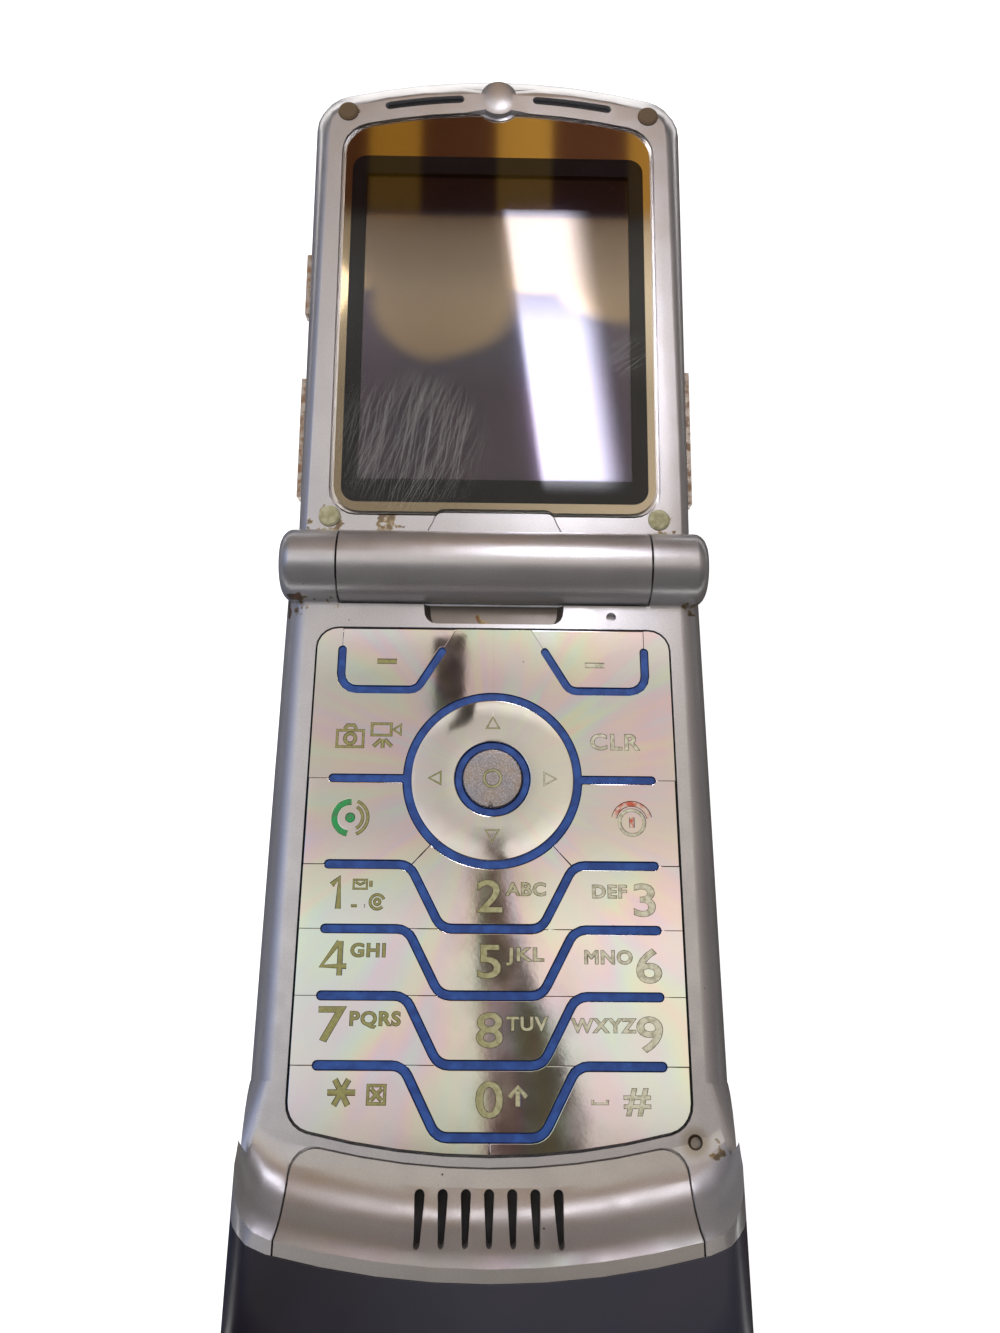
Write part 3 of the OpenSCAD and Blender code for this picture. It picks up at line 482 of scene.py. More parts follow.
def worn_chrome(name):
    """Thin plating on the side keys, worn through to brassy plastic along the ridges."""
    material, tree, shader, place = new_material(name)
    worn = add(
        tree, "MapRange",
        (add(tree, "TexNoise", {0: place, "Scale": 1 / (1.1 * MM), "Detail": 5.0}), 0.4, 0.62), **SMOOTH
    )
    join(
        tree, add(tree, "Mix", {0: worn, 6: srgb("bdb3aa"), 7: srgb("8a6c52")}, 2, **COLOURS), shader,
        "Base Color"
    )
    join(tree, add(tree, "MapRange", (worn, 0.0, 1.0, 0.75, 0.15), **SMOOTH), shader, "Metallic")
    join(tree, add(tree, "MapRange", (worn, 0.0, 1.0, 0.25, 0.55), **SMOOTH), shader, "Roughness")
    return material


def cap_plastic(name):
    """Satin slate plastic of the cap, with glossy shoulders; its colour is painted darker towards a purplish
    black on the left, as painted shade.
    """
    material, tree, shader, place = new_material(name)
    parts = add(tree, "SeparateXYZ", (place,), None)
    # Painted shade: the colour darkens towards the cap's left side.
    left = add(tree, "MapRange", (parts.outputs["X"], 2 * MM, -22 * MM), **SMOOTH)
    tone = add(tree, "Mix", {0: left, 6: srgb("302f3a"), 7: srgb("19151f")}, 2, **COLOURS)
    tone = add(
        tree, "Mix",
        {
            0: add(
                tree, "MapRange",
                (add(tree, "TexNoise", {0: place, "Scale": 1 / (8 * MM)}), 0.4, 0.7, 0.0, 0.25), **SMOOTH
            ), 6: tone, 7: srgb("22263a")
        }, 2, **COLOURS
    )
    chips = specks(tree, place, 2.2, 0.12, 0.2)
    join(
        tree,
        add(
            tree, "Mix", {0: add(tree, "Math", (chips, 0.5), **MULTIPLY), 6: tone, 7: srgb("8d8a90")}, 2,
            **COLOURS
        ), shader, "Base Color"
    )
    join(
        tree,
        add(
            tree, "MapRange", (add(tree, "TexNoise", {0: place, "Scale": 1 / (3 * MM)}), 0.3, 0.7, 0.3, 0.42),
            **SMOOTH
        ), shader, "Roughness"
    )
    shader.inputs["Coat Weight"].default_value = 0.3
    shader.inputs["Coat Roughness"].default_value = 0.25
    join(
        tree,
        add(
            tree, "Bump",
            {"Height": add(tree, "TexNoise", {0: place, "Scale": 1 / (0.2 * MM)}), "Distance": 0.004 * MM}
        ), shader, "Normal"
    )
    return material


def hairlines(tree, place, length_mm, width_mm, turn_deg, share):
    """Fine straight scratches of about that length and width, lying along one direction."""
    turned = add(tree, "Mapping", {"Vector": place, "Rotation": (0, 0, math.radians(turn_deg))})
    stretched = add(tree, "Mapping", {"Vector": turned, "Scale": (width_mm / length_mm, 1, 0)})
    lines = add(tree, "TexNoise", {"Vector": stretched, "Scale": 0.35 / (width_mm * MM), "Detail": 0.0}, None)
    return add(tree, "MapRange", (lines.outputs["Fac"], share, share + 0.03), **SMOOTH)


def scratched_acrylic(name):
    """Clear acrylic window: glossy, with fine scratches in bunches and a few hazy smears."""
    material, tree, shader, place = new_material(name)
    shader.inputs["IOR"].default_value = 1.49
    shader.inputs["Specular IOR Level"].default_value = 0.2
    fans = []
    for centre, radius, soft, turns in (
        ((-11, 17), 6, 7, (62, 72, 82)), ((17.5, 29.5), 1.5, 3, (28, 38)),
    ):
        lines = any_of(tree, [hairlines(tree, place, 6, 0.05, -turn, 0.64) for turn in turns])
        fans.append(add(tree, "Math", (lines, near(tree, place, lid_at(*centre), radius, soft)), **MULTIPLY))
    marks = add(tree, "Math", (any_of(tree, fans), 0.2), **MULTIPLY)
    clear = add(tree, "MapRange", (marks, 0.0, 1.0, 1.0, 0.0), **SMOOTH)
    join(tree, clear, shader, "Transmission Weight")
    join(tree, add(tree, "MapRange", (marks, 0.0, 0.5, 0.02, 0.3), **SMOOTH), shader, "Roughness")
    shader.inputs["Base Color"].default_value = srgb("f4f2ee")
    return material


def mirror_print(name):
    """Mirror print behind the window's border: warm and dark, in streaks of ochre and brown, its colour
    painted darker to the left as painted shade.
    """
    material, tree, shader, place = new_material(name)
    shader.inputs["Metallic"].default_value = 1.0
    shader.inputs["Roughness"].default_value = 0.04
    across = add(tree, "SeparateXYZ", (place,), "X")
    # Painted shade: the print is darker towards the left.
    join(
        tree,
        add(
            tree, "Mix",
            {
                0: add(tree, "MapRange", (across, -16 * MM, 18 * MM), **SMOOTH), 6: srgb("a8997f"),
                7: srgb("d2c6b0")
            }, 2, **COLOURS
        ), shader, "Base Color"
    )
    return material


def dark_print(name, colour, rough):
    """Opaque black print, or the face of a switched-off display."""
    material, tree, shader, place = new_material(name)
    light = tuple(c * 1.6 + 0.003 for c in colour[:3]) + (1.0,)
    cloud = add(
        tree, "MapRange",
        (add(tree, "TexNoise", {0: place, "Scale": 1 / (18 * MM), "Detail": 1.0}), 0.35, 0.7), **SMOOTH
    )
    join(tree, add(tree, "Mix", {0: cloud, 6: colour, 7: light}, 2, **COLOURS), shader, "Base Color")
    shader.inputs["Roughness"].default_value = rough
    shader.inputs["Specular IOR Level"].default_value = 0.08
    return material


def idle_display(name):
    """A switched-off display: a dull grey-violet mirror, with painted reflections of the room in its colour:
    tan where its upper part catches the room, and a darker band along its top.
    """
    material, tree, shader, place = new_material(name)
    shader.inputs["Metallic"].default_value = 1.0
    shader.inputs["Roughness"].default_value = 0.09
    away = add(tree, "Math", (add(tree, "TexNoise", {0: place, "Scale": 1 / (14 * MM), "Detail": 1.0}), -0.5))
    # Painted reflection: tan lobes and a tan band in the upper part, and a darker band above them.
    painted_reflection_lobes = [
        add(
            tree, "MapRange",
            (
                add(
                    tree, "Math",
                    (
                        add(
                            tree, "VectorMath", (place, tuple(lid_at(*centre))), "Value", operation="DISTANCE"
                        ), add(tree, "Math", (away, 5 * MM), **MULTIPLY)
                    )
                ), radius * MM, (radius - 3) * MM
            ), **SMOOTH
        ) for centre, radius in (((-7.4, 38.3), 10.6), ((16.0, 42.8), 9.8))
    ]
    height = add(tree, "SeparateXYZ", (place,), "Y")
    painted_reflection_lobes.append(add(tree, "MapRange", (height, lid_at(0, 37.8).y, lid_at(0, 39.6).y), **SMOOTH))
    tan = add(
        tree, "Math",
        (
            any_of(tree, painted_reflection_lobes),
            add(tree, "MapRange", (height, lid_at(0, 50.3).y, lid_at(0, 49.3).y), **SMOOTH)
        ), **MULTIPLY
    )
    glow = add(
        tree, "Mix",
        {
            0: add(tree, "MapRange", (height, lid_at(0, 46).y, lid_at(0, 33).y), **SMOOTH), 6: srgb("857668"),
            7: srgb("95826a")
        }, 2, **COLOURS
    )
    lower = add(
        tree, "Mix",
        {
            0: add(
                tree, "MapRange",
                (add(tree, "TexNoise", {0: place, "Scale": 1 / (16 * MM), "Detail": 1.0}), 0.35, 0.65),
                **SMOOTH
            ), 6: srgb("4b4055"), 7: srgb("3b3a50")
        }, 2, **COLOURS
    )
    lower = add(
        tree, "Mix",
        {
            0: add(tree, "MapRange", (height, lid_at(0, 49.5).y, lid_at(0, 51).y), **SMOOTH), 6: lower,
            7: srgb("2e2838")
        }, 2, **COLOURS
    )
    join(tree, add(tree, "Mix", {0: tan, 6: lower, 7: glow}, 2, **COLOURS), shader, "Base Color")
    return material


def smoked_glass(name):
    """Smoked, hard-coated glass of the small outer window and the camera."""
    material, tree, shader, place = new_material(name)
    shader.inputs["Coat Weight"].default_value = 1.0
    shader.inputs["Coat Roughness"].default_value = 0.04
    tone = add(
        tree, "Mix",
        {
            0: add(
                tree, "MapRange", (add(tree, "TexNoise", {0: place, "Scale": 1 / (9 * MM)}), 0.35, 0.7),
                **SMOOTH
            ), 6: srgb("171b21"), 7: srgb("262d37")
        }, 2, **COLOURS
    )
    join(tree, tone, shader, "Base Color")
    join(
        tree,
        add(
            tree, "MapRange",
            (add(tree, "TexNoise", {0: place, "Scale": 1 / (4 * MM)}), 0.3, 0.7, 0.06, 0.14), **SMOOTH
        ), shader, "Roughness"
    )
    return material


def rubber(name, colour, dark, handled=None):
    """Matt rubber, dusty, with darker dirt in its pores. handled is the tone of the bumpers at the lid's tip,
    which the fingers soil."""
    material, tree, shader, place = new_material(name)
    tone = add(
        tree, "Mix",
        {
            0: add(
                tree, "MapRange",
                (add(tree, "TexNoise", {0: place, "Scale": 1 / (0.9 * MM), "Detail": 4.0}), 0.4, 0.65),
                **SMOOTH
            ), 6: colour, 7: dark
        }, 2, **COLOURS
    )
    if handled:
        far = add(tree, "SeparateXYZ", (place,), "Y")
        tone = add(
            tree, "Mix",
            {
                0: add(tree, "MapRange", (far, lid_at(0, 40).y, lid_at(0, 55).y), **SMOOTH), 6: tone,
                7: handled
            }, 2, **COLOURS
        )
    join(tree, tone, shader, "Base Color")
    shader.inputs["Roughness"].default_value = 0.82
    join(
        tree,
        add(
            tree, "Bump",
            {
                "Height": add(tree, "TexNoise", {0: place, "Scale": 1 / (0.25 * MM), "Detail": 3.0}),
                "Distance": 0.02 * MM
            }
        ), shader, "Normal"
    )
    return material


base_dirt = [
    (base_at(-24.3, -4.6, -0.6), 1.6, 2.4),
    (base_at(-19.5, -4.4, -0.6), 1.2, 1.8),
    (base_at(24.6, -4.6, -0.6), 0.9, 1.8),
    (base_at(23.9, -66.6, 0.0), 0.7, 1.9),
    (base_at(-24.0, -70.5, 0.6), 0.3, 1.3),
]
lid_dirt = [
    (lid_at(-21.5, 5.9, -0.3), 1.9, 2.0),
    (lid_at(-13.5, 5.6, -0.3), 1.3, 2.0),
    (lid_at(21.5, 5.8, -0.3), 1.2, 1.8),
    (lid_at(-20.6, 65.0, -0.3), 1.0, 1.6),
    (lid_at(20.6, 65.0, -0.3), 0.8, 1.4),
]

# hole_shades_and_stains: painted shade of a small hole near the chin's right corner, in a brown stain.
paint = metallic_lacquer("satin_silver_lacquer", srgb("d9d7d9"), base_dirt, hole_shades_and_stains=[base_at(21.8, -65.8, -0.3)])
recess_dirt = [(base_at(-1.2, -6.2, -1.3), 0.7, 0.9)]
# Painted shade: the lacquer in the recess for the lid's tab is darker; recess_dirt is a spot of grime and
# rust in it.
shaded_recess_paint = metallic_lacquer("lacquer_with_painted_shade_in_the_recess", srgb("8c847c"), recess_dirt)
lid_paint = metallic_lacquer("satin_silver_lacquer_on_the_lid", srgb("dad7d8"), lid_dirt)
chin_paint = metallic_lacquer("satin_silver_lacquer_on_plastic", srgb("cbc7c4"))
back_paint = metallic_lacquer("satin_grey_lacquer", srgb("a5a3a7"))
cover_metal = metallic_lacquer("anodised_cover", srgb("a9acb3"), flake=0.04)
plate = polished_plate("polished_etched_plate")
ring_plate = polished_plate("polished_ring_plate", shimmer=0.03)
select_plate = sparkling_plate("sparkling_plate")
blue = silicone("blue_silicone", srgb("2a4f97"), srgb("213f80"))
fill = etched_fill("etched_lacquer")
green_ink = worn_ink("green_lacquer", srgb("1f8f4a"), srgb("3c7a4c"))
red_ink = worn_ink("red_lacquer", srgb("b8553f"), srgb("c9b3a4"))
cap = cap_plastic("slate_cap_plastic")
acrylic = scratched_acrylic("scratched_acrylic")
mirror = mirror_print("mirror_print")
black_print = dark_print("black_print", srgb("04030a"), 0.4)
display_face = idle_display("idle_display")
smoked = smoked_glass("smoked_glass")
bumper = rubber("khaki_rubber", srgb("a9a588"), srgb("928c69"), srgb("5d4a33"))
chrome = worn_chrome("worn_plating")
black_plastic = plain_plastic("black_moulding", srgb("17171a"))
grey_rubber = rubber("grey_elastomer", srgb("7d828c"), srgb("686c75"))
tin = sheet_metal("tinned_sheet", srgb("b8bcc0"))
hinge_steel = sheet_metal("ground_steel", srgb("8d8f92"), 0.25)
screw_steel = sheet_metal("blackened_steel", srgb("6b6d70"), 0.4)
gold_contact = sheet_metal("gilt_contact", srgb("c9b27a"), 0.3)
board_green = plain_plastic("solder_resist", srgb("2f6b45"), 0.35)
battery_wrap = plain_plastic("battery_wrap", srgb("4a4d55"), 0.5)
clear_film = plain_plastic("dome_film", srgb("d9d4c0"), 0.3)
amber_film = plain_plastic("amber_film", srgb("b5792e"), 0.3)

# ---------------------------------------------------------------------------------------------------------
# Modelling helpers


def choose(*chosen):
    bpy.ops.object.select_all(action="DESELECT")
    for piece in chosen:
        piece.select_set(True)
    bpy.context.view_layer.objects.active = chosen[-1]


def give(piece, material):
    piece.data.materials.clear()
    piece.data.materials.append(material)


def use(piece, kind, **settings):
    """Adds a modifier, sets it and applies it."""
    modifier = piece.modifiers.new(kind.lower(), kind)
    for name, value in settings.items():
        setattr(modifier, name, value)
    choose(piece)
    bpy.ops.object.modifier_apply(modifier=modifier.name)


def round_edges(piece, edge_mm, turn_deg=30):
    """Rounds the edges that turn by more than turn_deg."""
    limit = math.radians(turn_deg)
    use(piece, "BEVEL", width=edge_mm * MM, segments=2, limit_method="ANGLE", angle_limit=limit)


SEAM_REACH = 0.22
SEAM_CLOSED = 0.48


def close_seams(piece, neighbours):
    """Draws the walls of a hairline between two keys together until the seam all but vanishes, as in a single
    etched sheet, and gives back a test of whether a point lies on such a seam."""
    trees = []
    for name in neighbours:
        mesh = nodes[name].data
        faces = [tuple(face.vertices) for face in mesh.polygons]
        trees.append(BVHTree.FromPolygons([point.co for point in mesh.vertices], faces))

    def across_seam(point, reach=SEAM_REACH):
        found = [tree.find_nearest(point, reach * MM)[0] for tree in trees]
        return next((spot for spot in found if spot), None)

    for point in piece.data.vertices:
        spot = across_seam(point.co)
        if spot:
            point.co += (spot - point.co) * SEAM_CLOSED
    return across_seam


def round_free_edges(piece, edge_mm, on_seam):
    """Rounds the sharp edges of a key, save those along a seam."""
    choose(piece)
    bpy.ops.object.mode_set(mode="EDIT")
    bpy.ops.mesh.select_mode(type="EDGE")
    bpy.ops.mesh.select_all(action="DESELECT")
    bpy.ops.mesh.edges_select_sharp(sharpness=math.radians(30))
    bpy.ops.object.mode_set(mode="OBJECT")
    points = piece.data.vertices
    for edge in piece.data.edges:
        middle = (points[edge.vertices[0]].co + points[edge.vertices[1]].co) / 2
        if edge.select and on_seam(middle):
            edge.select = False
    bpy.ops.object.mode_set(mode="EDIT")
    bpy.ops.mesh.bevel(offset=edge_mm * MM, segments=2, clamp_overlap=True)
    bpy.ops.object.mode_set(mode="OBJECT")


def smooth(piece, turn_deg=30):
    """Smooths all but the edges that turn by more than turn_deg, with flat faces kept flat."""
    choose(piece)
    bpy.ops.mesh.customdata_custom_splitnormals_clear()
    bpy.ops.object.shade_smooth_by_angle(angle=math.radians(turn_deg))
    use(piece, "WEIGHTED_NORMAL", keep_sharp=True)


def soften(piece, edge_mm, turn_deg=30):
    if edge_mm:
        round_edges(piece, edge_mm, turn_deg)
    smooth(piece, turn_deg)


def merged_copy(node):
    """A copy of a solid with its loose triangles merged into clean faces."""
    piece = bpy.data.objects.new(node + "_finish", nodes[node].data.copy())
    bpy.context.collection.objects.link(piece)
    choose(piece)
    bpy.ops.mesh.customdata_custom_splitnormals_clear()
    bpy.ops.object.mode_set(mode="EDIT")
    bpy.ops.mesh.select_all(action="SELECT")
    bpy.ops.mesh.remove_doubles(threshold=0.002 * MM)
    bpy.ops.mesh.dissolve_limited(angle_limit=math.radians(0.6))
    bpy.ops.object.mode_set(mode="OBJECT")
    return piece


def stand_for(piece, node, material):
    """The piece rides where its solid rides, is shown in its place and takes its finish."""
    give(piece, material)
    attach(piece, nodes[node]["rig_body"])
    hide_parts(node)


def place_in_mesh(piece, place=None):
    """Puts a piece's place into its mesh, so that its object sits at the origin."""
    if place is not None:
        piece.matrix_world = place @ piece.matrix_world
    choose(piece)
    bpy.ops.object.transform_apply(location=True, rotation=True, scale=True)


# ---------------------------------------------------------------------------------------------------------
# Etched legends. A cutter goes into the key, and a thinner copy of it fills the bottom of the etching.

ETCH_DEPTH = 0.1
ETCH_SLOPE = 0.07
FILL_DROP = 0.06


def letters(text, x, y, height, turn_deg=0, wide=1.0, spacing=1.0, weight=0.03):
    """Flat letters with their middle at x, y, given as a maker of curves."""

    def make():
        bpy.ops.object.text_add(location=(x * MM, y * MM, 0), rotation=(0, 0, math.radians(turn_deg)))
        piece = bpy.context.object
        piece.data.body = text
        piece.data.align_x = "CENTER"
        piece.data.align_y = "CENTER"
        piece.data.size = height * MM / CAP_HEIGHT
        piece.data.space_character = spacing
        piece.data.offset = weight * MM
        piece.scale = (wide, 1, 1)
        piece.data.resolution_u = 4
        return piece

    return make


CAP_HEIGHT = 0.73


def stroke(points, width, closed=False):
    """A line of that width through points, given as a maker of curves."""

    def make():
        data = bpy.data.curves.new("stroke", "CURVE")
        data.dimensions = "3D"
        spline = data.splines.new("POLY")
        spline.points.add(len(points) - 1)
        for point, (x, y) in zip(spline.points, points):
            point.co = (x * MM, y * MM, 0, 1)
        spline.use_cyclic_u = closed
        piece = bpy.data.objects.new("stroke", data)
        piece["stroke_width"] = width
        bpy.context.collection.objects.link(piece)
        return piece

    return make


def ring_points(x, y, radius, start=0, end=360, steps=28):
    """Points round a circle, from start to end in degrees; a whole circle leaves out its last point."""
    last = steps if end - start < 360 else steps - 1
    return [
        (
            x + radius * math.cos(math.radians(start + (end - start) * i / steps)),
            y + radius * math.sin(math.radians(start + (end - start) * i / steps)),
        )
        for i in range(last + 1)
    ]


def box_points(x, y, width, height):
    w, h = width / 2, height / 2
    return [(x - w, y - h), (x + w, y - h), (x + w, y + h), (x - w, y + h)]


def as_solid(makers, name, top, sink, slope):
    """The marks as one solid that reaches from sink under top to just over it, wider by slope at the top."""
    made = []
    for maker in makers:
        piece = maker()
        width = piece.get("stroke_width")
        if width:
            piece.data.bevel_depth = (width / 2 + slope) * MM
            piece.data.bevel_resolution = 2
            piece.data.use_fill_caps = True
        else:
            piece.data.extrude = sink / 2 * MM
            piece.data.bevel_depth = slope * MM
            piece.data.bevel_resolution = 1
        choose(piece)
        bpy.ops.object.convert(target="MESH")
        piece = bpy.context.object
        place_in_mesh(piece)
        if width:
            piece.scale = (1, 1, sink / (width / 2 + slope))
            place_in_mesh(piece)
        made.append(piece)
    choose(*made)
    if len(made) > 1:
        bpy.ops.object.join()
    solid = bpy.context.object
    solid.name = name
    solid.location = base_at(0, 0, top)
    place_in_mesh(solid)
    return solid


def etch(piece, makers, name, node, material, top):
    """Cuts the marks into the piece and lays their lacquer into the bottom of the cut."""
    cutter = as_solid(makers, name + "_cutter", top, ETCH_DEPTH, ETCH_SLOPE)
    use(piece, "BOOLEAN", object=cutter, operation="DIFFERENCE", solver="EXACT", use_self=True)
    bpy.data.objects.remove(cutter)
    lacquer = as_solid(makers, name, top - FILL_DROP, ETCH_DEPTH - FILL_DROP, 0.03)
    give(lacquer, material)
    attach(lacquer, nodes[node]["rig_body"])


DIGIT = 3.7
DIGIT_WIDE = 1.25
SMALL = 1.45
LINE = 0.34


def keypad_marks():
    """Marks of each key: a list of (name, makers, material)."""
    camera_icon = [
        stroke(box_points(-17.0, -22.15, 3.1, 2.0), LINE, True),
        stroke(ring_points(-17.0, -22.15, 0.62), LINE, True),
        stroke([(-17.7, -21.0), (-17.4, -20.5), (-16.6, -20.5), (-16.3, -21.0)], LINE),
    ]
    camcorder_icon = [
        stroke(box_points(-13.3, -21.0, 2.3, 1.4), LINE, True),
        stroke([(-11.9, -21.0), (-11.0, -20.4), (-11.0, -21.6)], LINE, True),
        stroke([(-13.3, -22.2), (-14.2, -23.1)], LINE),
        stroke([(-13.1, -22.2), (-13.1, -23.3)], LINE),
        stroke([(-12.9, -22.2), (-12.0, -23.1)], LINE),
    ]
    envelope = [
        stroke(box_points(-14.95, -39.2, 1.5, 1.0), 0.2, True),
        stroke([(-15.5, -38.95), (-14.95, -39.25), (-14.4, -38.95)], 0.18),
        stroke([(-13.75, -38.8), (-13.75, -39.5)], 0.26),
    ]
    marks = {
        "key_soft_left": [("dash", [stroke([(-14.2, -12.4), (-11.8, -12.4)], 0.55)], fill)],
        "key_soft_right": [("dash", [stroke([(11.2, -12.65), (13.6, -12.65)], 0.55)], fill)],
        "key_camera": [("icons", camera_icon + camcorder_icon, fill)],
        "key_clear": [("word", [letters("CLR", 14.5, -22.4, 1.95, wide=1.12, spacing=1.15)], fill)],
        "key_send": [
            ("left_arc", [stroke(ring_points(-16.5, -31.6, 1.85, 88, 262, 14), 0.75)], green_ink),
            ("right_arcs", [
                stroke(ring_points(-16.5, -31.6, 2.05, 292, 428, 12), 0.28),
                stroke(ring_points(-16.5, -31.6, 1.45, 300, 420, 12), 0.28),
            ], fill),
            ("dot", [stroke(ring_points(-16.5, -31.6, 0.34, steps=10), 0.4, True)], green_ink),
        ],
        "key_end": [
            ("upper_arc", [stroke(ring_points(16.3, -31.8, 2.1, 12, 168, 16), 0.55)], red_ink),
            ("ring", [stroke(ring_points(16.3, -31.9, 1.45), 0.3, True)], fill),
            ("bar", [stroke([(16.3, -31.3), (16.3, -32.5)], 0.5)], red_ink),
        ],
        "key_1": [
            ("legend", [stroke([(-18.2, -39.3), (-17.35, -38.5), (-17.35, -41.95)], 0.56),
                        stroke(ring_points(-12.95, -41.15, 0.8, 20, 320, 18), 0.22),
                        stroke(ring_points(-12.95, -41.15, 0.32, steps=10), 0.22, True)]
             + envelope
             + [stroke([(-15.9, -41.6), (-15.2, -41.6)], 0.2),
                stroke([(-14.4, -41.6), (-14.3, -41.6)], 0.26)], fill),
        ],
        "key_star": [
            ("legend", [
                stroke([(-15.9 + 1.5 * math.cos(a), -61.1 + 1.5 * math.sin(a)),
                        (-15.9 - 1.5 * math.cos(a), -61.1 - 1.5 * math.sin(a))], 0.52)
                for a in (0, math.pi / 3, 2 * math.pi / 3)
            ] + [
                stroke(box_points(-12.15, -61.3, 1.8, 1.8), 0.38, True),
                stroke([(-12.75, -60.7), (-11.55, -61.9)], 0.34),
                stroke([(-12.75, -61.9), (-11.55, -60.7)], 0.34),
            ], fill),
        ],
        "key_0": [
            ("legend", [
                letters("0", -0.05, -61.95, DIGIT, wide=DIGIT_WIDE),
                stroke([(2.1, -61.5), (3.0, -60.5), (3.9, -61.5)], 0.4),
                stroke([(3.0, -60.9), (3.0, -62.4)], 0.5),
            ], fill),
        ],
        "key_hash": [
            ("legend", [
                letters("#", 15.8, -61.8, 2.7, wide=1.25),
                stroke([(11.0, -61.7), (11.0, -62.1), (12.6, -62.1), (12.6, -61.7)], 0.24),
            ], fill),
        ],
    }
    def figure(text, x, y):
        """A digit; the 4 is drawn in strokes."""
        if text != "4":
            return [letters(text, x, y, DIGIT, wide=DIGIT_WIDE)]
        return [
            stroke([(x + 0.45, y + 1.8), (x - 1.45, y - 0.85), (x + 1.35, y - 0.85)], 0.5),
            stroke([(x + 0.6, y + 1.85), (x + 0.6, y - 1.85)], 0.5),
        ]

    words = {
        "key_2": ("2", -0.2, -40.65, "ABC", 3.95, -39.7),
        "key_3": ("3", 17.45, -40.95, "DEF", 13.4, -39.9),
        "key_4": ("4", -17.4, -47.3, "GHI", -13.7, -46.5),
        "key_5": ("5", -0.15, -47.75, "JKL", 3.9, -46.85),
        "key_6": ("6", 17.6, -48.15, "MNO", 13.1, -47.1),
        "key_7": ("7", -17.45, -54.4, "PQRS", -12.65, -53.7),
        "key_8": ("8", -0.1, -54.95, "TUV", 4.0, -54.15),
        "key_9": ("9", 17.45, -55.3, "WXYZ", 12.4, -54.3),
    }
    for key, (digit, x, y, word, word_x, word_y) in words.items():
        makers = [
            *figure(digit, x, y),
            letters(word, word_x, word_y, SMALL, wide=1.3 if word == "JKL" else 1.1, spacing=1.12),
        ]
        marks[key] = [("legend", makers, fill)]
    return marks


def make_keys():
    marks = keypad_marks()
    keys = [node for node in nodes if node.startswith("key_")]
    for node in keys:
        key = merged_copy(node)
        on_seam = close_seams(key, [other for other in keys if other != node])
        round_free_edges(key, 0.1, on_seam)
        for name, makers, material in marks.get(node, []):
            etch(key, makers, node + "_" + name, node, material, KEY_TOP)
        smooth(key)
        stand_for(key, node, plate)


RING_GROWTH = 0.2


def make_steering_ring():
    """The ring's top is crowned, so its arrows lie where the crown is highest. It fills more of its groove
    than     the plain solid does."""
    ring = merged_copy("nav_ring")
    middle = base_at(*NAV_CENTRE)
    crown = [point for point in ring.data.vertices if point.co.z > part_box("nav_ring")[1].z - 0.45 * MM]
    for point in crown:
        out = Vector((point.co.x - middle.x, point.co.y - middle.y, 0))
        if out.length > 7.5 * MM:
            point.co += out.normalized() * RING_GROWTH * MM
    round_edges(ring, 0.07)
    top = (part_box("nav_ring")[1].z - HINGE.z) / MM
    x, y = NAV_CENTRE
    makers = []
    for angle in (90, 180, 270, 0):
        c, s = math.cos(math.radians(angle)), math.sin(math.radians(angle))
        tip, foot = 7.5, 6.1
        corners = [(tip, 0), (foot, -0.75), (foot, 0.75)]
        makers.append(stroke([(x + u * c - v * s, y + u * s + v * c) for u, v in corners], 0.24, True))
    etch(ring, makers, "steering_arrows", "nav_ring", fill, top)
    smooth(ring)
    stand_for(ring, "nav_ring", ring_plate)


def make_select_key():
    key = merged_copy("select_key")
    round_edges(key, 0.04)
    top = (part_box("select_key")[1].z - HINGE.z) / MM
    x, y = NAV_CENTRE
    makers = [stroke(ring_points(x, y, 1.0), 0.24, True)]
    etch(key, makers, "select_circle", "select_key", fill, top)
    smooth(key)
    stand_for(key, "select_key", select_plate)


# ---------------------------------------------------------------------------------------------------------
# Window of the lid

MASK_HALF_W = 19.75
MASK_LOW = 8.75
MASK_HIGH = 58.2
LIT_HALF_W = 17.8
LIT_LOW = 11.85
LIT_HIGH = 55.6
PRINT_TOP = -0.4
PRINT_T = 0.05


def flat_plate(name, x0, x1, d0, d1, top, thick, corner):
    """A thin plate in the lid with round corners."""
    middle = Vector(((x0 + x1) / 2, (d0 + d1) / 2, top - thick / 2)) * MM
    bpy.ops.mesh.primitive_cube_add(size=1, location=middle)
    piece = bpy.context.object
    piece.name = name
    piece.scale = ((x1 - x0) * MM, (d1 - d0) * MM, thick * MM)
    place_in_mesh(piece)
    bpy.ops.object.mode_set(mode="EDIT")
    bpy.ops.mesh.select_mode(type="EDGE")
    bpy.ops.mesh.select_all(action="DESELECT")
    bpy.ops.object.mode_set(mode="OBJECT")
    points = piece.data.vertices
    for edge in piece.data.edges:
        a, b = (points[i].co for i in edge.vertices)
        edge.select = abs(a.z - b.z) > thick / 2 * MM
    bpy.ops.object.mode_set(mode="EDIT")
    bpy.ops.mesh.bevel(offset=corner * MM, segments=8)
    bpy.ops.object.mode_set(mode="OBJECT")
    return piece


def cut_away(piece, cutter):
    use(piece, "BOOLEAN", object=cutter, operation="DIFFERENCE", solver="EXACT")
    bpy.data.objects.remove(cutter)


def drawn_in(piece, edge_mm):
    """Makes a plate of the window smaller by edge_mm on each side."""
    low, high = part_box("display_lens")
    middle, half = (low + high) / 2, (high - low) / 2
    to_middle = Matrix.Translation(middle)
    scale = Matrix.Diagonal((1 - edge_mm * MM / half.x, 1 - edge_mm * MM / half.y, 1, 1))
    turn = Matrix.Rotation(LID_TILT, 4, "X")
    piece.data.transform(to_middle @ turn @ scale @ turn.inverted() @ to_middle.inverted())


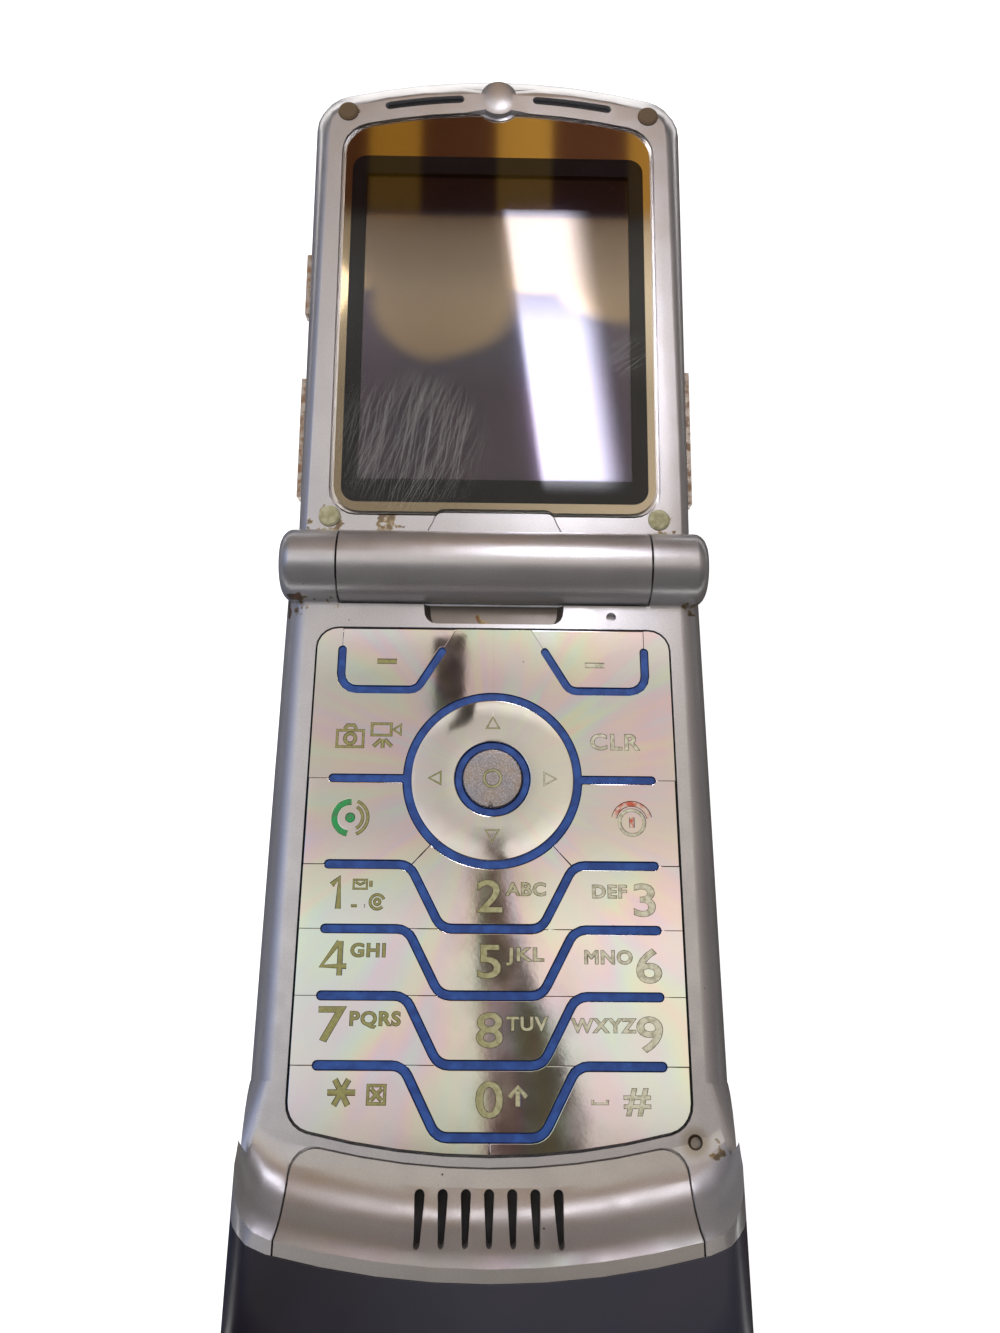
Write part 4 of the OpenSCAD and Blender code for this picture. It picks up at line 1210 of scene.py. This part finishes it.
def make_window():
    lens = merged_copy("display_lens")
    drawn_in(lens, 0.12)
    soften(lens, 0.14)
    stand_for(lens, "display_lens", acrylic)

    # The mirror print covers the window's border, and ends where the black print begins.
    border = merged_copy("display_lens")
    border.name = "mirror_border"
    drawn_in(border, 0.5)
    keep = flat_plate("slab", -40, 40, 0, 80, PRINT_TOP, PRINT_T, 1)
    place_in_mesh(keep, LID_PLACE)
    use(border, "BOOLEAN", object=keep, operation="INTERSECT", solver="EXACT")
    bpy.data.objects.remove(keep)
    hole = flat_plate("hole", -MASK_HALF_W, MASK_HALF_W, MASK_LOW, MASK_HIGH, 0, 3, 2.0)
    place_in_mesh(hole, LID_PLACE)
    cut_away(border, hole)
    give(border, mirror)
    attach(border, "lid")

    mask = flat_plate("black_mask", -MASK_HALF_W, MASK_HALF_W, MASK_LOW, MASK_HIGH, PRINT_TOP, PRINT_T, 2.0)
    opening = flat_plate("opening", -LIT_HALF_W, LIT_HALF_W, LIT_LOW, LIT_HIGH, 0, 3, 0.3)
    cut_away(mask, opening)
    place_in_mesh(mask, LID_PLACE)
    give(mask, black_print)
    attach(mask, "lid")


# ---------------------------------------------------------------------------------------------------------
# The solids that keep their shape

FINISHES = {
    "front_housing": (paint, 0.12),
    "rear_housing": (back_paint, 0.12),
    "chin_cover": (chin_paint, 0.1),
    "antenna_cap": (cap, 0.12),
    "battery_door": (back_paint, 0.08),
    "battery_latch": (back_paint, 0.06),
    "keypad_backlight": (blue, 0.06),
    "lid_inner_housing": (lid_paint, 0.1),
    "lid_outer_cover": (cover_metal, 0.1),
    "outer_lens": (smoked, 0.12),
    "camera_ring": (tin, 0.06),
    "smart_key": (chrome, 0.12),
    "volume_rocker": (chrome, 0.12),
    "voice_key": (chrome, 0.12),
    "lid_bumpers": (bumper, 0.0),
    "microphone_mesh": (black_plastic, 0.0),
    "earpiece_mesh": (black_plastic, 0.0),
    "case_screws": (screw_steel, 0.04),
    "usb_socket": (tin, 0.04),
}
INNER = {
    "dome_sheet": clear_film,
    "main_board": board_green,
    "shield_can": tin,
    "battery": battery_wrap,
    "loudspeaker": black_plastic,
    "microphone": gold_contact,
    "antenna": gold_contact,
    "vibration_motor": tin,
    "sim_holder": tin,
    "hinge_cam": hinge_steel,
    "hinge_pin": hinge_steel,
    "nav_support": grey_rubber,
    "main_display": display_face,
    "outer_display": display_face,
    "camera_module": smoked,
    "earpiece": black_plastic,
    "lid_board": board_green,
    "lid_screws": screw_steel,
    "hinge_flex": amber_film,
}


DOME = (0, 67.4)
DOME_REACH = 3.35
LID_FACE = -0.25
SHOULDER = 2.3


def shape_lid(piece):
    """Rolls the lid's long shoulders over a wider edge and draws the dome in from the edge of its tip."""
    to_lid = LID_PLACE.inverted()
    for point in piece.data.vertices:
        x, d, h = to_lid @ point.co / MM
        high = min(1, max(0, (h - LID_FACE + SHOULDER) / SHOULDER))
        wide = min(1, max(0, (abs(x) - 22.8) / 0.9))
        if 8 < d < 66:
            x -= math.copysign(0.75 * high**2 * wide, x)
        if h > LID_FACE - 1.5 and math.dist((x, d), DOME) < DOME_REACH:
            x, d = (DOME[i] + 0.78 * ((x, d)[i] - DOME[i]) for i in (0, 1))
        point.co = LID_PLACE @ (Vector((x, d, h)) * MM)


def paint_shade_in_recess(piece):
    """Gives the floor and walls of the recess for the lid's tab a darker lacquer: painted shade, with a spot
    of grime and rust on its floor.
    """
    piece.data.materials.append(shaded_recess_paint)
    for face in piece.data.polygons:
        x, y, z = (face.center - HINGE) / MM
        if abs(x) < 9.3 and -7.7 < y < -3.5 and -1.7 < z < -0.05:
            face.material_index = 1


def finish_solids():
    for node, (material, edge) in FINISHES.items():
        piece = merged_copy(node)
        if node == "lid_inner_housing":
            shape_lid(piece)
        soften(piece, edge)
        stand_for(piece, node, material)
        if node == "front_housing":
            paint_shade_in_recess(piece)
    for node, material in INNER.items():
        give(nodes[node], material)


# ---------------------------------------------------------------------------------------------------------
# Studio: a pale floor, a soft light and a narrow bright window above the lid.


def seen_as_background(tree):
    """1 for what the camera, glosses and glass see, and 0 for the light on the object."""
    path = add(tree, "LightPath", out=None)
    kinds = ("Camera", "Glossy", "Transmission")
    return any_of(tree, [path.outputs["Is " + kind + " Ray"] for kind in kinds])


def make_floor():
    bpy.ops.mesh.primitive_plane_add(size=4, location=(0, 0, 0))
    floor = bpy.context.object
    floor.name = "floor"
    material, tree, shader, _ = new_material("pale_floor")
    shader.inputs["Base Color"].default_value = srgb("e6e5e3")
    shader.inputs["Roughness"].default_value = 0.9
    shader.inputs["Emission Color"].default_value = (1, 1, 1, 1)
    join(tree, add(tree, "Math", (seen_as_background(tree), 0.72), **MULTIPLY), shader, "Emission Strength")
    give(floor, material)


def make_world():
    world = bpy.data.worlds.new("pale_studio")
    bpy.context.scene.world = world
    world.use_nodes = True
    tree = world.node_tree
    light = add(tree, "Mix", {0: seen_as_background(tree), 6: srgb("d8d8d8"), 7: (1, 1, 1, 1)}, 2, **COLOURS)
    tree.links.new(light, tree.nodes["Background"].inputs["Color"])


def only_for_gloss(card):
    """A card that glosses and glass see, and that neither lights nor shades the telephone."""
    card.visible_camera = False
    card.visible_diffuse = False
    card.visible_shadow = False


def inside(tree, value, low, high, soft):
    """1 where value lies between low and high, falling to 0 over soft."""
    return add(
        tree, "Math",
        (
            add(tree, "MapRange", (value, low - soft, low + soft), **SMOOTH),
            add(tree, "MapRange", (value, high + soft, high - soft), **SMOOTH)
        ), **MULTIPLY
    )


ROOM_RADIUS = 12


def room_walls():
    """The room round the telephone, bright overhead, blue to the left, brown to the right, and darker behind
    the camera, with ochre panels beyond the lid. across and along are how far a mirrored ray leans to the
    right and to the back for each unit that it climbs."""
    material, tree, shader, place = new_material("room_walls")
    way = add(tree, "VectorMath", (place, tuple(base_at(0, -20))), operation="SUBTRACT")
    way = add(tree, "VectorMath", (way,), operation="NORMALIZE")
    parts = add(tree, "SeparateXYZ", (way,), None)
    x, y, z = (parts.outputs[i] for i in range(3))
    sideways = shades(tree, x, (
        (-1.0, "333a4e"), (-0.9, "4e5b80"), (-0.65, "97a9d6"), (-0.42, "dde5fb"), (-0.24, "ffffff"),
        (-0.18, "e2e0e0"), (-0.05, "dcd8d2"), (0.08, "f2ede4"), (0.2, "faf2e8"), (0.3, "b5aaa2"),
        (0.42, "8a807a"), (0.7, "675e59"), (1.0, "403936"),
    ))
    lengthways = shades(tree, y, (
        (-1.0, "343031"), (-0.84, "3f3b3c"), (-0.5, "3f3b3c"), (-0.26, "474342"), (-0.19, "6f6a67"),
        (-0.13, "dcd8d4"), (-0.08, "f2efeb"), (0.06, "fbf8f5"), (0.16, "d6d2cd"), (0.3, "d0ccc7"),
        (0.36, "f8f5f1"), (0.385, "fffdf8"), (0.43, "dcd3c8"), (0.462, "63574e"), (0.5, "463c37"),
        (1.0, "342d2a"),
    ))
    tone = add(tree, "Mix", {0: 1.0, 6: sideways, 7: lengthways}, 2, **COLOURS, blend_type="MULTIPLY")

    up = add(tree, "Math", (z, 0.05), operation="MAXIMUM")
    across = add(tree, "Math", (x, up), operation="DIVIDE")
    along = add(tree, "Math", (y, up), operation="DIVIDE")
    panels = srgb("5b3a2b")
    ochre = ((-0.126, -0.073, "b98d3f"), (0.0055, 0.062, "c4984a"), (0.141, 0.2, "b08640"))
    for left, right, colour in ochre:
        panels = add(
            tree, "Mix", {0: inside(tree, across, left, right, 0.004), 6: panels, 7: srgb(colour)}, 2,
            **COLOURS
        )
    beyond = add(
        tree, "Math",
        (add(tree, "MapRange", (along, 0.49, 0.51), **SMOOTH), inside(tree, across, -0.3, 0.35, 0.06)),
        **MULTIPLY
    )
    tone = add(tree, "Mix", {0: beyond, 6: tone, 7: panels}, 2, **COLOURS)

    half = add(tree, "MapRange", (along, 0.12, -0.14, 0.016, 0.046), **SMOOTH)
    middle = add(tree, "MapRange", (along, 0.12, -0.14, 0.006, 0.05), **SMOOTH)
    off = add(tree, "Math", (across, middle), operation="SUBTRACT")
    off = add(tree, "Math", (off,), operation="ABSOLUTE")
    edge = add(tree, "Math", (off, half), operation="SUBTRACT")
    beam = add(
        tree, "Math",
        (add(tree, "MapRange", (edge, 0.006, -0.006), **SMOOTH), inside(tree, along, -0.18, 0.15, 0.02)),
        **MULTIPLY
    )
    tone = add(tree, "Mix", {0: beam, 6: tone, 7: srgb("4d4138")}, 2, **COLOURS)

    shader.inputs["Base Color"].default_value = (0, 0, 0, 1)
    shader.inputs["Specular IOR Level"].default_value = 0
    shader.inputs["Emission Strength"].default_value = 1.2
    join(tree, tone, shader, "Emission Color")
    return material


def make_room():
    middle = base_at(0, -20)
    bpy.ops.mesh.primitive_uv_sphere_add(segments=64, ring_count=32, radius=ROOM_RADIUS, location=middle)
    room = bpy.context.object
    room.name = "room"
    bpy.ops.object.shade_smooth()
    place_in_mesh(room)
    give(room, room_walls())
    only_for_gloss(room)


def make_flags():
    """A dark flag lies on the floor on each side, for the dark line along the rounded edges."""
    for name, side, colour in (("blue_flag", -1, "343b52"), ("brown_flag", 1, "39322f")):
        start, end = base_at(side * 27.5, -90), base_at(side * 600, 110)
        middle = ((start.x + end.x) / 2, (start.y + end.y) / 2, 0.3 * MM)
        bpy.ops.mesh.primitive_plane_add(size=1, location=middle)
        flag = bpy.context.object
        flag.name = name
        flag.scale = (abs(end.x - start.x), end.y - start.y, 1)
        place_in_mesh(flag)
        give(flag, plain_plastic(name, srgb(colour), 0.9))
        only_for_gloss(flag)


def add_lamp(name, place, aim, width, length, watts, colour="ffffff", turn_deg=0):
    data = bpy.data.lights.new(name, "AREA")
    data.shape = "RECTANGLE"
    data.size = width
    data.size_y = length
    data.energy = watts
    data.color = srgb(colour)[:3]
    lamp = bpy.data.objects.new(name, data)
    bpy.context.collection.objects.link(lamp)
    facing = (Vector(aim) - Vector(place)).to_track_quat("-Z", "Y").to_matrix().to_4x4()
    lamp.matrix_world = Matrix.Translation(place) @ facing @ Matrix.Rotation(math.radians(turn_deg), 4, "Z")
    lamp.visible_glossy = False


CARD_Z = 85
WINDOW_CORNERS = ((9.7, 26), (32.0, 26), (20.4, 89), (0.4, 89))
SHADE_CORNERS = ((-11.8, 4), (-5.3, 4), (-5.3, 22.5), (-11.8, 22.5))


def make_card(name, corners, material):
    """A flat card over the telephone."""
    mesh = bpy.data.meshes.new(name)
    mesh.from_pydata([base_at(x, y, CARD_Z) for x, y in corners], [], [(0, 1, 2, 3)])
    card = bpy.data.objects.new(name, mesh)
    bpy.context.collection.objects.link(card)
    give(card, material)
    only_for_gloss(card)


def window_light():
    """Daylight, fading towards both long sides of the slanting window."""
    material, tree, shader, place = new_material("window_light")
    parts = add(tree, "SeparateXYZ", (place,), None)
    low, high = WINDOW_CORNERS[0], WINDOW_CORNERS[3]
    lean = (low[0] - high[0]) / (high[1] - low[1])
    aside = add(tree, "Math", (parts.outputs["X"], add(tree, "Math", (parts.outputs["Y"], lean), **MULTIPLY)))
    left = base_at(*low).x + lean * base_at(*low).y
    right = base_at(*WINDOW_CORNERS[1]).x + lean * base_at(*low).y
    glow = add(
        tree, "Math",
        (
            add(tree, "MapRange", (aside, left, left + 2.5 * MM), **SMOOTH),
            add(tree, "MapRange", (aside, right, right - 9 * MM), **SMOOTH)
        ), **MULTIPLY
    )
    shader.inputs["Base Color"].default_value = (0, 0, 0, 1)
    shader.inputs["Specular IOR Level"].default_value = 0
    shader.inputs["Emission Color"].default_value = srgb("f3f3ff")
    glow = add(
        tree, "Math",
        (
            glow,
            add(
                tree, "MapRange", (parts.outputs["Y"], base_at(0, low[1]).y, base_at(0, low[1] + 6).y),
                **SMOOTH
            )
        ), **MULTIPLY
    )
    strength = add(
        tree, "MapRange", (parts.outputs["Y"], base_at(0, 73).y, base_at(0, 62).y, 6.5, 12.5), **SMOOTH
    )
    join(tree, add(tree, "Math", (glow, strength), **MULTIPLY), shader, "Emission Strength")
    join(tree, glow, shader, "Alpha")
    return material


def make_cards():
    make_card("window_card", WINDOW_CORNERS, window_light())
    make_card("shade_card", SHADE_CORNERS, plain_plastic("black_card", srgb("3a332c"), 0.9))


def make_lamps():
    add_lamp("soft_key", (-0.5, 0.35, 0.75), base_at(0, -20), 0.6, 0.6, 4.5, "fff8f0")


# ---------------------------------------------------------------------------------------------------------

add_camera()
make_keys()
make_steering_ring()
make_select_key()
make_window()
finish_solids()
make_floor()
make_world()
make_room()
make_flags()
make_cards()
make_lamps()
